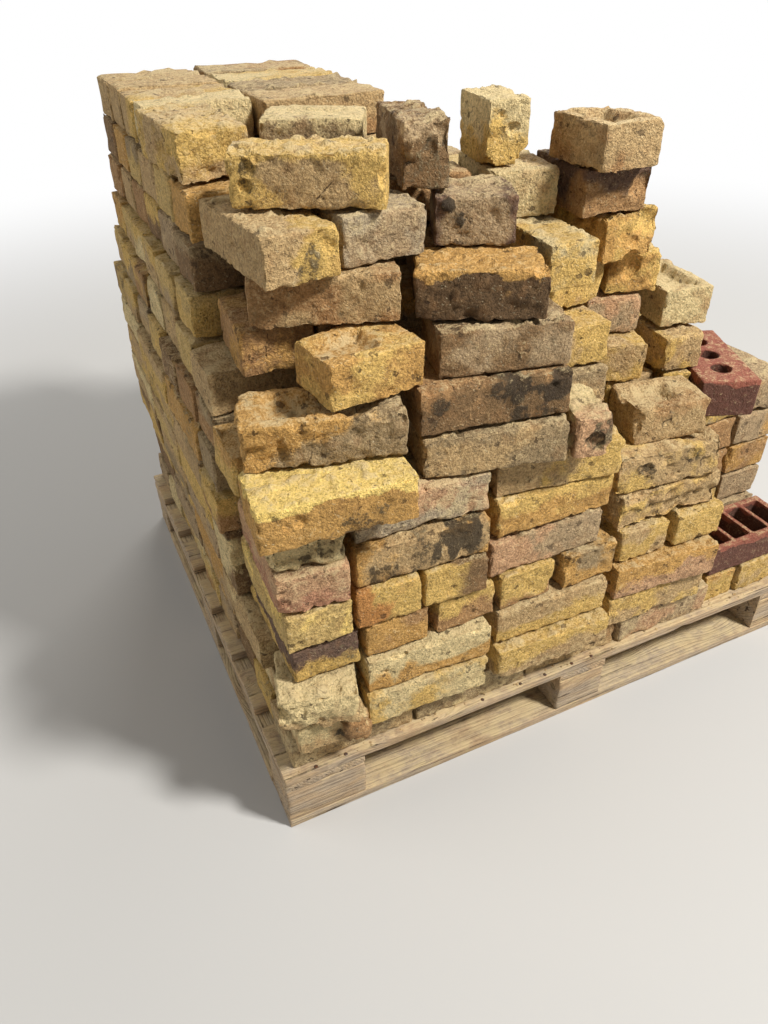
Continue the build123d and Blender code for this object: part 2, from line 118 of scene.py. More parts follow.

# The look of each brick of the lit face, given one by one. A row starts with the brick's near left corner in
# millimetres from the pallet's corner, its main and second clay, where the second lies and how much of it
# there is, soot and dust. Its marks follow. A chip or a pit has its place on the front, from -1 to 1 to the
# right and up, and its radius and depth in millimetres. With _at the place runs from -1 to 1 along, across
# and up the brick. A stain has how dark it is instead of a depth, and a lump ends with its clay.
# Some marks in the table paint shade: the umber clay and the soot of the brick at 284 108 in course 11 darken
# its front as painted shade, a stain set on a pit paints the shade in its hollow, and the stain along the top
# of the front of the brick at 28 -16 in course 2 paints the shade under the brick above.
LOOK_TABLE = """
course 1
22 15 drab buff patches .5 .15 .6
250 14 drab cream patches .4 0 .6; chip -.6 1 22 7
478 20 buff tan patches .4 0 .6
684 12 dun pink patches .5 0 .5
906 25 yellow ochre patches .4 0 .3
996 22 yellow buff patches .4 0 .3
course 2
28 -16 cream buff patches .5 .05 .2; chip -.5 1 36 10; chip .35 1 30 8; stain 0 1 60 .2;
  lump .66 -.15 24 14 tan; stain .35 -.2 16 .6; chip -1 1 30 12; chip -.4 -1 20 6
150 -11 cream yellow patches .5 .05 .3; chip -.75 1 30 9; chip .2 1 26 6; chip 1 .3 22 6
388 -17 buff yellow top .45 0 .35; chip -1 -1 24 8; chip .5 1 22 5
634 2 buff yellow patches .4 .05 .3; chip 1 1 26 8
course 3
3 -14 cream buff foot .3 0 .35; crust; chip -1 .2 30 11; chip -.2 -1 26 9; chip .5 -1 24 8; chip 1 -.2 26 8;
  pit -.45 .2 8 5; pit -.55 -.1 7 4; chip .3 1 30 5
154 -2 cream ochre foot .35 0 .25; chip -.55 1 24 8; chip .1 1 32 7; pit -.72 .1 7 5; pit -.4 -.5 6 4;
  chip .75 1 22 5
391 2 yellow buff top .45 0 .3; chip 0 1 26 6; chip 1 1 20 6; pit -.2 .1 5 3
638 1 pink ochre top .4 0 .2; chip -1 1 24 7; chip .3 1 26 6
course 4
40 8 plum yellow foot .33 .35 .1; chip 1 1 22 7
158 8 ochre tan patches .3 0 .25; chip -1 1 24 8
281 7 tan yellow top .3 0 .2; chip 1 1 24 8
397 8 yellow tan foot .3 0 .2; chip 1 -.4 20 7
521 6 ochre drab patches .45 .2 .15; chip -1 .6 26 9
646 17 yellow buff patches .4 0 .25
766 12 yellow moss patches .4 0 .25; chip 1 1 24 8
course 5
34 3 moss straw patches .4 0 .2; pit .4 .5 5 3
144 6 yellow orange left .35 .05 .1; chip 1 .8 20 6
256 4 yellow brown right .45 0 .1
379 17 dun pink left .4 .1 .25; chip 1 1 22 7
638 22 buff yellow patches .35 .1 .3; crust; shelf .25; chip -.7 1 34 12; chip 0 .3 24 9; chip .6 1 30 10;
  chip -.2 -1 24 8; chip 1 -.3 24 8
course 6
28 6 pink rose foot .42 0 .4; pit -.85 .75 7 6; pit -.9 .25 8 7; pit -.65 .5 6 5; pit -.8 -.2 6 5;
  chip 1 1 18 5
148 15 buff ochre corners .4 .1 .1; chip -1 1 26 8; chip .35 1 26 7; pit .5 .6 8 5; chip -.8 -1 18 5;
  stain .55 .45 44 .95; stain .05 0 52 .45; stain -.6 -.75 42 .6; stain .8 -.1 40 .55
390 25 ochre yellow top .4 0 .15; chip -.75 1 24 8; pit -.3 .5 6 3; chip .9 1 24 6
630 38 buff yellow patches .4 .2 .2; crust; stain -.5 .3 24 .35; stain .4 .4 34 .35; pit -.5 .3 14 9;
  pit -.38 .05 9 7; pit -.1 .5 11 9; pit .35 .6 10 8; pit .7 -.1 12 8; pit .15 -.5 8 6; chip 1 .5 24 9;
  chip -1 1 24 8
course 7
32 20 cream drab patches .4 .25 .1; veins; pit -.5 .4 12 7; pit .2 .2 12 8; pit .7 .1 9 6; chip .1 1 24 7;
  pit -.1 -.6 9 5; chip -1 1 22 8
156 32 pink grey patches .5 0 .55; chip -.6 1 22 6; chip .6 1 24 7; chip -.1 1 18 5
392 40 buff yellow right .4 .1 .25; chip 1 .1 24 9; chip -.3 -1 22 5
676 68 buff tan patches .35 .05 .3; frog -.03; pit -.2 .35 10 10; pit -.15 .05 8 7; stain -.18 .2 14 .5;
  chip -.55 1 26 8; chip -1 .2 34 12; chip_at -1 .2 1 34 10
801 154 yellow buff patches .3 0 .2
course 8
6 -18 ochre straw bed .4 .2 .15; stain .3 -.9 50 .35; pit -.5 .25 13 7; pit -.64 .12 10 5;
  pit_at -.5 -.5 1 6 3; pit -.85 .8 6 4; chip -1 1 22 6; chip 1 .6 22 7
266 42 drab buff patches .4 .1 .2; chip -1 .4 24 7; pit -.55 .3 5 3; chip .5 -1 26 6
486 -10 cream pink front .35 .1 .3; crust; pit 0 -.1 17 15; stain 0 -.1 20 .4; stain .9 .2 40 .5;
  pit -.5 .25 9 6; chip 1 1 26 9; chip 1 -.6 22 7
540 110 drab buff patches .3 0 .2
646 182 yellow buff patches .4 0 .2; chip -.6 1 22 6
788 150 buff yellow patches .4 0 .2; chip 1 1 24 8
course 9
20 66 drab ochre left_top .35 .2 .2; frog 0; crust; crack -.17 .15; crack .5 -.1; chip .65 1 20 8;
  chip -.35 1 34 7; pit .38 .2 11 4; chip .25 -1 22 5
262 44 brown tan top_patches .45 .35 .1; chip -.85 1 22 7; pit .05 .1 9 3; chip .9 1 26 9; pit .75 .4 9 5;
  crack -.72 .5; stain -.9 0 40 .4; stain .15 .7 34 .5; stain .75 .2 30 .6; stain .3 -.7 24 .4;
  stain 1 .8 30 .5
510 130 yellow buff patches .3 0 .2
656 208 dun pink patches .5 0 .2
797 182 cream buff patches .3 0 .3; frog 0; chip -.2 -1 20 6
course 10
137 42 ochre yellow patches .4 0 .05; frog -.035; pit -.45 -.35 5 3; chip -1 -.2 24 7; chip -1 1 30 10;
  pit .2 .55 5 4; pit .45 .6 5 4; chip .8 -1 18 5; chip -.5 1 22 5
300 66 dun brown patches .5 .1 .2; pit .2 .4 5 3; pit .55 .3 5 3; chip -1 1 20 5
66 186 tan ochre patches .4 .2 .1; crack -.3 .1
177 172 tan brown patches .3 0 .2
529 166 yellow buff patches .4 0 .3
690 212 yellow ochre patches .5 .1 .1; crust; chip -.2 .2 30 12; chip 1 1 26 9; pit -.5 -.3 9 5
course 11
80 178 buff tan patches .45 .1 .25; chip -1 -1 22 7; chip .3 1 20 5
284 108 umber ochre bed .4 .15 0; crust; pit .62 .4 5 4; pit .25 -.3 4 4; chip .9 1 24 8; pit -.85 .7 6 5;
  pit -.6 .75 5 4; pit 0 .8 5 3
496 110 cream yellow patches .4 0 .2
350 210 tan brown patches .3 0 .2
640 172 yellow ochre patches .5 .2 .1; crust; chip .7 .5 34 12; pit -.3 .2 12 6; pit .15 -.2 10 7;
  chip -1 1 28 10; chip .1 -1 26 9
course 12
90 118 yellow buff left_top .42 0 .25; stain .3 -.5 26 .55; pit .72 .25 11 6; pit .8 -.1 8 4; pit .6 .5 7 4;
  chip 1 1 20 6; chip -1 1 26 6
204 146 dun grey patches .5 0 .4; chip 0 -1 26 6
327 277 tan brown patches .3 0 .2
347 174 dun plum corners .3 .05 .15; pit -.68 .7 10 13; stain -.68 .7 11 .7; pit -.4 .3 6 8;
  pit -.41 .12 6 8; pit -.4 -.05 6 7; stain -.4 .12 13 .5; pit .72 .3 5 4; pit 0 -.4 3 3; chip 1 -.4 18 5
478 240 cream buff patches .4 0 .3
602 186 tan plum top .4 .2 .2; chip .8 .2 26 9
course 13
86 226 buff yellow rim .4 .05 .2; pit -.72 .5 12 7; pit -.78 -.1 10 7; crack .35 1.2; pit -.6 .85 8 6;
  stain -.74 .2 20 .3; chip 1 .2 26 8; chip .6 -1 22 5; chip -1 1 22 7
62 372 yellow buff patches .45 .2 .3; crust; chip -.2 1 34 9; pit .3 .2 9 5; chip 1 1 26 8
192 420 drab cream top .4 .1 .3
596 150 buff tan patches .4 .05 .3; frog 0; chip -.8 -1 22 6; chip 1 1 20 6
bricks on edge
312 200 brown dun patches .45 .4 .2; crust; chip 1 .8 24 8; pit .1 .2 12 5; chip -.3 -1 26 7
478 262 cream yellow foot .35 .05 .2; pit .2 .1 12 9; pit -.3 .5 8 5; chip 1 -1 40 14; chip -1 -1 30 10
"""

Look = namedtuple("Look", "x y main second where share soot dust marks")
Laid = namedtuple("Laid", "middle turn half worn")


def mark_from(kind, *facts):
    """A mark with its kind, its place and its measures."""
    facts = [float(fact) if fact[-1].isdigit() else fact for fact in facts]
    if kind in ("chip", "pit", "stain", "lump"):
        facts.insert(1, -1.0)
    return (kind.removesuffix("_at"), *facts)


def looks_from(table):
    """The looks of a table, one list for each course and one for the bricks on edge."""
    courses = []
    for row in table.strip().replace("\n  ", " ").splitlines():
        head, *marks = (part.split() for part in row.split(";"))
        if head[0] in ("course", "bricks"):
            courses.append([])
            continue
        x, y, main, second, where, *shares = head
        marks = tuple(mark_from(*mark) for mark in marks)
        courses[-1].append(Look(float(x), float(y), main, second, where, *map(float, shares), marks))
    return courses


LOOKS = looks_from(LOOK_TABLE)


def linear(colour):
    """A screen colour as the linear value that Blender keeps."""
    return tuple(c / 12.92 if c <= 0.04045 else ((c + 0.055) / 1.055) ** 2.4 for c in colour)


def opaque(colour):
    return (*linear(colour), 1.0)


def clay(name):
    return np.array(linear(CLAYS[name]))


# Noise

def hashed(cells, seed):
    """A value from 0 to 1 for each whole-numbered cell, the same each time."""
    mixed = cells[:, 0] * 374761393 + cells[:, 1] * 668265263 + cells[:, 2] * 1274126177 + seed * 974711
    mixed = ((mixed ^ (mixed >> 13)) * 1274126177) & 0xFFFFFFFF
    return ((mixed ^ (mixed >> 16)) & 0xFFFF) / 65535.0


def soft_noise(points, size, seed=0):
    """Soft noise from -1 to 1 with lumps about size metres across."""
    spots = points / size
    base = np.floor(spots).astype(np.int64)
    part = spots - base
    part = part * part * (3 - 2 * part)
    total = np.zeros(len(points))
    for corner in itertools.product((0, 1), repeat=3):
        near = np.where(np.array(corner) == 1, part, 1 - part)
        total += near[:, 0] * near[:, 1] * near[:, 2] * hashed(base + np.array(corner), seed)
    return 2 * total - 1


def rough_noise(points, size, seed=0, octaves=3):
    """Noise from -1 to 1 with lumps of several sizes, the largest about size metres across."""
    total, weight, reach = np.zeros(len(points)), 1.0, 0.0
    for octave in range(octaves):
        total += weight * soft_noise(points, size / 2 ** octave, seed + octave)
        reach += weight
        weight *= 0.55
    return total / reach * 1.5


def step(low, high, values):
    """0 below low, 1 above high and smooth between."""
    share = np.clip((values - low) / (high - low), 0, 1)
    return share * share * (3 - 2 * share)


# Reading the frame

def read(items, label, width=1, kind=float):
    """One value, or one row of values, for each item of a Blender collection."""
    values = np.empty(len(items) * width, dtype=kind)
    items.foreach_get(label, values)
    return values if width == 1 else values.reshape(-1, width)


def merged(points, mesh, places):
    """The separate points of a mesh, rounded to so many places, and its triangles between them."""
    keys, index = np.unique(np.round(points * 10 ** places).astype(np.int64), axis=0, return_inverse=True)
    corners = read(mesh.loops, "vertex_index", kind=np.int64)
    return keys * 10.0 ** -places, index.reshape(-1)[corners].reshape(-1, 3)


def solids_of(node):
    """The points of each separate solid in a node's mesh, one array a solid."""
    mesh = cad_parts[node].data
    points, triangles = merged(read(mesh.vertices, "co", 3), mesh, 5)
    label = np.arange(len(points))
    while True:
        least = label[triangles].min(axis=1)
        fresh = label.copy()
        for side in range(3):
            np.minimum.at(fresh, triangles[:, side], least)
        fresh = fresh[fresh]
        if (fresh == label).all():
            return [points[label == name] for name in np.unique(label)]
        label = fresh


def as_laid(points):
    """The smallest upright box round a solid's points: its middle, its turn and its half sizes."""
    best = None
    for turn in np.radians(np.arange(-45, 45, 0.5)):
        c, s = math.cos(turn), math.sin(turn)
        along = points[:, 0] * c + points[:, 1] * s
        across = points[:, 1] * c - points[:, 0] * s
        area = np.ptp(along) * np.ptp(across)
        if best is None or area < best[0] - 1e-9:
            best = (area, turn, along.min(), along.max(), across.min(), across.max())
    _, turn, left, right, front, back = best
    c, s = math.cos(turn), math.sin(turn)
    along, across = (left + right) / 2, (front + back) / 2
    low, high = points[:, 2].min(), points[:, 2].max()
    middle = np.array((along * c - across * s, along * s + across * c, (low + high) / 2))
    half = np.array(((right - left) / 2, (back - front) / 2, (high - low) / 2))
    return Laid(middle, turn, half, len(points) > 8)


def near_corner(laid):
    """Near left corner of a brick in millimetres from the pallet's near left corner."""
    c, s = math.cos(laid.turn), math.sin(laid.turn)
    x = laid.middle[0] - laid.half[0] * c + laid.half[1] * s
    y = laid.middle[1] - laid.half[0] * s - laid.half[1] * c
    return ((x - CAD_CORNER[0]) / MM, (y - CAD_CORNER[1]) / MM)


def look_of(course, index, laid):
    """The look given for a brick, or one drawn for it."""
    corner = near_corner(laid)
    if laid.worn:
        best = min(LOOKS[course], key=lambda look: math.dist(corner, (look.x, look.y)))
        if math.dist(corner, (best.x, best.y)) < OWN_LOOK_WITHIN:
            return best
    draw = np.random.default_rng(SEEDS_A_COURSE * course + index)
    clays = RIGHT_END if corner[0] > RIGHT_END_FROM else COMMON
    chips = [("chip", *spot, draw.uniform(18, 30), draw.uniform(5, 10))
             for spot in draw.permutation(np.array(EDGE_SPOTS))[:draw.integers(3, 7)]]
    pits = [("pit", *spot, draw.uniform(6, 12), draw.uniform(3, 6))
            for spot in draw.permutation(np.array(FACE_SPOTS))[:draw.integers(0, 3)]]
    soot = draw.choice([0, 0, 0, 0.1, 0.2, 0.4])
    return Look(0, 0, draw.choice(clays), draw.choice(clays), draw.choice(SPREAD), draw.uniform(0.25, 0.5),
                soot, draw.uniform(0.1, 0.4), chips + pits)


def lot_of(course, index):
    """A place in the pattern of its own for every brick."""
    return np.random.default_rng(LOT_SEED + SEEDS_A_COURSE * course + index).uniform(2, 9, 3)


# Shells

def lines(length, ends, step_length):
    """Places of grid lines along a side, close together towards both its ends."""
    half = length / 2
    ends = [e for e in ends if e < half * 0.6]
    inner = half - ends[-1]
    count = max(1, round(2 * inner / step_length))
    middle = np.linspace(-inner, inner, count + 1)
    low = [-half + e for e in ends[:-1]]
    return np.array(low + list(middle) + [-v for v in reversed(low)])


def shell(xs, ys, zs, unseen=()):
    """Points and outward faces of a closed box cut along the given lines.

    An unseen side, given as its axis and end, is a fan of triangles, with -1 for the fourth corner.
    """
    outer = np.zeros((len(xs), len(ys), len(zs)), dtype=bool)
    for axis, end in itertools.product(range(3), (0, -1)):
        np.moveaxis(outer, axis, 0)[end] = True
    index = -np.ones(outer.shape, dtype=np.int64)
    index[outer] = np.arange(outer.sum())
    i, j, k = np.nonzero(outer)
    points = np.stack((xs[i], ys[j], zs[k]), axis=1)
    faces = []
    for axis, end in itertools.product(range(3), (0, -1)):
        sheet = np.moveaxis(index, axis, 0)[end]
        flip = (end == 0) != (axis == 1)
        if (axis, end) in unseen:
            rim = np.concatenate((sheet[:-1, 0], sheet[-1, :-1], sheet[:0:-1, -1], sheet[0, :0:-1]))
            hub = np.full(len(rim), len(points))
            points = np.vstack((points, points[rim].mean(axis=0)))
            ring = [hub, np.roll(rim, -1), rim] if flip else [hub, rim, np.roll(rim, -1)]
            ring.append(np.full(len(rim), -1))
        else:
            ring = [sheet[:-1, :-1], sheet[1:, :-1], sheet[1:, 1:], sheet[:-1, 1:]]
            if flip:
                ring.reverse()
        faces.append(np.stack([corner.reshape(-1) for corner in ring], axis=1))
    faces = np.concatenate(faces)
    used, fresh = np.unique(faces[faces >= 0], return_inverse=True)
    faces[faces >= 0] = fresh.reshape(-1)
    return points[used], faces


# Wear in metres
LEAST_ARRIS = 0.0012
FROG_LENGTH, FROG_WIDTH, FROG_DEPTH = 0.150, 0.058, 0.015
FROG_RIM = 0.019  # least width of the bed round the frog
FROG_SLOPE = (-0.002, 0.009)  # from the frog's outline to where it is deepest
FROG_WAVER = 0.005
CRACK_WAVER = 0.006
CRUMB_HEIGHT, CRUMB_GAP = 0.0022, 0.0068
VEIN_HEIGHT, VEIN_BED = 0.0080, 0.0045
SHELF_DEPTH = 0.007
SIDE_GAP = 0.0005
ROCKING = 0.012  # radians that a brick is turned and tipped by


class Body:
    """The points of one brick or board while it is worn, with what its material needs to know of each."""

    def __init__(self, points, half, lot):
        self.points = points
        self.half = half
        self.home = points / half
        self.where = points + lot
        self.out = np.zeros_like(points)
        self.tint = np.zeros_like(points)
        self.other = np.zeros_like(points)
        self.fresh, self.dust, self.soot, self.share, self.net = np.zeros((5, len(points)))
        self.gap = np.ones(len(points))

    def push(self, amount):
        """Moves each point outwards by its own amount."""
        self.points += self.out * amount[:, None]

    def noise(self, size, seed=0, octaves=3):
        return rough_noise(self.where, size, seed, octaves)

    def round_off(self, arris):
        """Wears the arrises to an uneven radius, much larger where they have crumbled."""
        radius = arris * (1.1 + 0.9 * self.noise(0.022, 1))
        radius += 2.6 * arris * step(0.3, 0.9, self.noise(0.05, 4))
        radius = np.clip(radius, LEAST_ARRIS, 0.7 * self.half.min())[:, None]
        core = np.clip(self.points, radius - self.half, self.half - radius)
        reach = self.points - core
        length = np.linalg.norm(reach, axis=1, keepdims=True)
        self.out = reach / np.maximum(length, 1e-9)
        near_edge = step(0.02, 0.3, length[:, 0] / radius[:, 0] - 1)
        self.fresh += 0.55 * near_edge
        ragged = np.maximum(self.noise(0.011, 51, 2), 0) * near_edge
        self.points = core + self.out * (radius - arris * ragged[:, None])

    def bite(self, place, radius, depth, ragged=0.25):
        """Breaks a hollow out of the surface at a place on the brick."""
        place = np.array(place, dtype=float)
        outward = np.where(np.abs(place) > 0.95, np.sign(place), 0.0)
        outward /= np.linalg.norm(outward)
        away = self.points - place * self.half - outward * (radius - depth)
        distance = np.linalg.norm(away, axis=1)
        near = distance < radius * (1 + ragged)
        if not near.any():
            return
        edge = radius * (1 + ragged * rough_noise(self.where[near], radius * 0.7, 7))
        moved = np.maximum(edge - distance[near], 0)
        self.points[near] += away[near] / distance[near, None] * moved[:, None]
        self.fresh[near] += step(0, depth * 0.5, moved)

    def away_from(self, place):
        """How far each point is from a place on the brick."""
        return np.linalg.norm(self.points - np.array(place, dtype=float) * self.half, axis=1)

    def stain(self, place, radius, amount):
        """Darkens a patch that breaks up into flecks and short runs towards its border, for real stains and
        for painted shade in pits.
        """
        gap = self.away_from(place) * (1 + 0.35 * self.noise(radius * 0.6, 55))
        runs = rough_noise(self.where * (1, 1, 0.4), 0.013, 57, 2)
        self.soot += amount * (1 - step(0.5, 1.0, gap / radius + 0.4 * runs))

    def lump(self, place, radius, height):
        """Raises a lump of old mortar on the surface."""
        gap = self.away_from(place) * (1 + 0.5 * self.noise(radius * 0.6, 9))
        dome = np.sqrt(np.clip(1 - (gap / radius) ** 3, 0, 1))
        self.push(dome * height)
        return step(0.05, 0.3, dome)

    def frog(self, shift):
        """Sinks the tapered hollow of the top bed, moved along the brick by shift, with dust and painted
        shade in it.
        """
        long, short = (0, 1) if self.half[0] > self.half[1] else (1, 0)
        room = self.half - FROG_RIM
        length, width = min(FROG_LENGTH / 2, room[long]), min(FROG_WIDTH / 2, room[short])
        along, across = np.abs(self.points[:, long] - shift), np.abs(self.points[:, short])
        inside = np.minimum(length - along, width - across)
        sunk = step(*FROG_SLOPE, inside + FROG_WAVER * self.noise(0.03, 11)) * (self.out[:, 2] > 0.6)
        self.points[:, 2] -= FROG_DEPTH * sunk
        self.dust += 0.2 * sunk
        # Painted shade in the sunk frog
        self.soot += 0.25 * sunk

    def crack(self, along, lean):
        """Notes how far each point is from a crack up the front, for the material to draw."""
        line = self.points[:, 0] - along * self.half[0] - lean * self.points[:, 2]
        line += CRACK_WAVER * self.noise(0.03, 13)
        seen = (self.home[:, 1] < -0.9) | (self.home[:, 2] > 0.9)
        self.gap = np.where(seen, np.minimum(self.gap, np.abs(line)), self.gap)

    def crust(self):
        """Breaks the skin into crumbs with deep gaps between them, and paints shade in the gaps."""
        rough = self.noise(0.026, 61)
        high = step(0.1, 0.7, -rough)
        self.push(CRUMB_HEIGHT * high - CRUMB_GAP * step(0.15, 0.8, rough))
        # Painted shade in the deep gaps
        self.soot += 0.35 * step(0.4, 0.95, rough)
        self.fresh += 0.45 * high

    def veins(self):
        """Leaves a raised net of pale mortar over the face, with painted shade on the face between its
        strands.
        """
        self.net = 1 - step(0.16, 0.46, np.abs(self.noise(0.032, 63, 2)))
        self.push(VEIN_HEIGHT * self.net - VEIN_BED)
        # Painted shade on the sunk face between the strands
        self.soot += 0.25 * (1 - self.net)

    def shelf(self, level):
        """Breaks the front back in a rough shelf below a level, with painted shade along the step."""
        edge = self.home[:, 2] - level + 0.5 * self.noise(0.05, 65)
        self.push(-SHELF_DEPTH * (1 - step(-0.12, 0.12, edge)) * step(0.5, 0.9, -self.out[:, 1]))
        # Painted shade along the step
        self.soot += 0.5 * np.exp(-(edge / 0.12) ** 2) * (self.out[:, 1] < -0.5)

    def roughen(self, depth):
        """Gives the faces the unevenness of hand-thrown clay, with painted shade in the torn hollows."""
        swell = np.minimum(self.noise(0.06, 15, 2) * 0.9 + self.noise(0.014, 18) * 0.6, 0.35)
        torn = step(0.45, 0.85, self.noise(0.019, 71, 2))
        self.push(depth * (swell - 1.5 * torn))
        # Painted shade in the torn hollows
        self.soot += 0.12 * torn

    def colour(self, look):
        """Lays the two clays, the soot and the painted shade, and the dust."""
        pull = PULLS[look.where](*self.home.T)
        if look.where == "bed":
            brim = step(0.6, 0.95, self.home[:, 2] + 0.45 * self.noise(0.03, 27))
            pull += 2.4 * np.maximum(step(0.15, 0.7, self.out[:, 2]), brim)
        cloud = self.noise(0.045, 21) * 0.8 + pull
        self.share = step(-0.6, 0.6, cloud - (1 - 2 * look.share) * 0.75)
        self.tint[:] = clay(look.main)
        self.other[:] = clay(look.second)
        self.soot += look.soot * step(-0.35, 0.6, self.noise(0.06, 25) + 0.3 * look.soot)
        self.dust += look.dust * (0.5 + 0.5 * step(-0.2, 0.5, self.noise(0.04, 29)))
        self.dust += 0.25 * step(0.5, 0.95, self.out[:, 2])

    def facts(self, lot):
        """What the material reads at each point, by the name of its attribute."""
        one = np.ones((len(self.points), 1))
        return {
            "tint": np.hstack((self.tint, one)),
            "second_tint": np.hstack((self.other, one)),
            "wear": np.clip(np.stack((self.fresh, self.dust, self.soot, self.share), axis=1), 0, 1),
            "crack": self.gap[:, None],
            "lot": one * lot,
        }


def weathered(laid, look, lot, grid, wear, unseen):
    """One weathered brick as points, faces and what its material needs."""
    # Each brick's gap and the way it rocks follow from its lot, through whole numbers of its own
    drop = wear.bed_gap * (0.55 + 0.9 * hashed(np.array([[int(lot[0] * 977), 3, 5]]), 2)[0])
    rock = ROCKING * (hashed(np.array([[int(lot[1] * 991), 7, 1], [int(lot[2] * 983), 2, 9]]), 4) - 0.5)
    half = laid.half - np.array((SIDE_GAP, SIDE_GAP, drop / 2))
    ends, stride = grid
    raw, faces = shell(*(lines(2 * h, ends, stride) for h in half), unseen)
    body = Body(raw, half, lot)
    body.round_off(wear.arris)
    paint = []
    for kind, *facts in look.marks:
        if kind in ("chip", "pit"):
            body.bite(facts[:3], facts[3] * MM, facts[4] * MM)
            # A pit also gets painted shade in its hollow
            if kind == "pit":
                body.stain(facts[:3], facts[3] * MM, 0.28)
        elif kind == "stain":
            body.stain(facts[:3], facts[3] * MM, facts[4])
        elif kind == "lump":
            paint.append((body.lump(facts[:3], facts[3] * MM, facts[4] * MM), facts[5]))
        else:
            getattr(body, kind)(*facts)
    body.roughen(wear.unevenness)
    # Remains of mortar on the bed carry the next course
    mortar = step(0.25, 0.6, body.noise(0.022, 31)) * (body.out[:, 2] > 0.9)
    if not any(mark[0] == "frog" for mark in look.marks):
        body.points[:, 2] += mortar * drop * 0.95
    body.colour(look)
    body.dust += 0.3 * mortar
    for mask, name in paint + [(body.net, "cream")]:
        body.tint += (clay(name) - body.tint) * mask[:, None]
        body.other += (clay(name) * 0.6 - body.other) * mask[:, None]
        body.dust *= 1 - mask
    turned = Matrix.Rotation(laid.turn + rock[0], 3, "Z") @ Matrix.Rotation(rock[1], 3, "Y")
    points = body.points @ np.array(turned).T + laid.middle - np.array((0, 0, drop / 2))
    return points, faces, body.facts(lot)


# Objects

def placed(name, data):
    """A new object in the scene."""
    obj = bpy.data.objects.new(name, data)
    bpy.context.scene.collection.objects.link(obj)
    return obj


def sheet_of(name, spots, faces=((0, 1, 2, 3),)):
    """A plain mesh object from a few points."""
    mesh = bpy.data.meshes.new(name)
    mesh.from_pydata(spots, [], faces)
    return placed(name, mesh)


def mesh_of(name, parts):
    """One object of many shells, with what the materials read as attributes."""
    points = np.concatenate([part[0] for part in parts])
    offsets = np.cumsum([0] + [len(part[0]) for part in parts[:-1]])
    faces = [np.where(part[1] < 0, -1, part[1] + offset) for part, offset in zip(parts, offsets)]
    faces = np.concatenate(faces)
    corners = faces[faces >= 0]
    sides = (faces >= 0).sum(axis=1)
    mesh = bpy.data.meshes.new(name)
    mesh.vertices.add(len(points))
    mesh.vertices.foreach_set("co", points.astype(np.float32).reshape(-1))
    mesh.loops.add(corners.size)
    mesh.loops.foreach_set("vertex_index", corners.astype(np.int32))
    mesh.polygons.add(len(faces))
    mesh.polygons.foreach_set("loop_start", np.concatenate(([0], np.cumsum(sides)[:-1])).astype(np.int32))
    mesh.update(calc_edges=True)
    kinds = {4: ("FLOAT_COLOR", "color"), 3: ("FLOAT_VECTOR", "vector"), 1: ("FLOAT", "value")}
    for label in parts[0][2]:
        values = np.concatenate([part[2][label] for part in parts])
        kind, field = kinds[values.shape[1]]
        layer = mesh.attributes.new(label, kind, "POINT")
        layer.data.foreach_set(field, values.astype(np.float32).reshape(-1))
    return placed(name, mesh)


def evaluated(obj, **keep):
    """The mesh that an object's modifiers make."""
    graph = bpy.context.evaluated_depsgraph_get()
    return bpy.data.meshes.new_from_object(obj.evaluated_get(graph), depsgraph=graph, **keep)


def finished(obj, material, tree=None, inputs=None):
    """Runs a node tree over the piece, keeps the result as a plain mesh and smooths its faces."""
    if tree is not None:
        modifier = obj.modifiers.new(tree.name, "NODES")
        modifier.node_group = tree
        sockets = {s.name: s.identifier for s in tree.interface.items_tree if s.in_out == "INPUT"}
        for label, value in {**(inputs or {}), "Material": material}.items():
            modifier[sockets[label]] = value
        plain = evaluated(obj, preserve_all_data_layers=True)
        obj.modifiers.remove(modifier)
        obj.data = plain
    if not obj.data.materials:
        obj.data.materials.append(material)
    obj.data.polygons.foreach_set("use_smooth", np.ones(len(obj.data.polygons), dtype=bool))
    obj.data.set_sharp_from_angle(angle=SMOOTH_BELOW)
    obj.data.update()
    return obj


def hand_over(obj, slot, *nodes):
    """Puts a finished piece in place of its CAD nodes."""
    if not obj.data.polygons:
        raise RuntimeError(obj.name + " has no faces")
    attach(obj, "root")
    if nodes:
        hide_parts(*nodes)


# Node trees

# Colours of breaks, dirt and painted shade, of wood and of steel
SHADES = {name: opaque(colour) for name, colour in {
    "dust": (0.80, 0.71, 0.53),
    "burnt clay": (0.60, 0.42, 0.25),
    "burnt red clay": (0.45, 0.22, 0.18),
    "soot": (0.20, 0.17, 0.13),
    "cinder": (0.22, 0.17, 0.12),
    "chalk": (0.90, 0.84, 0.68),
    "hollow": (0.24, 0.17, 0.11),
    "silver wood": (0.64, 0.57, 0.48),
    "broken wood": (0.76, 0.62, 0.44),
    # Painted shade in the pits and cracks of the clay
    "split wood": (0.20, 0.15, 0.11),
    "grime": (0.36, 0.29, 0.21),
    # Painted shade in the checks of the wood, and the dark of its knots
    "steel": (0.36, 0.32, 0.29),
    "rust": (0.40, 0.25, 0.15),
}.items()}


class Value:
    """What a node puts out, to write formulas with."""

    def __init__(self, nodes, socket):
        self.nodes = nodes
        self.socket = socket

    def __add__(self, other):
        return self.nodes.math("ADD", self, other)

    def __sub__(self, other):
        return self.nodes.math("SUBTRACT", self, other)

    def __mul__(self, other):
        return self.nodes.math("MULTIPLY", self, other)

    __rmul__ = __mul__


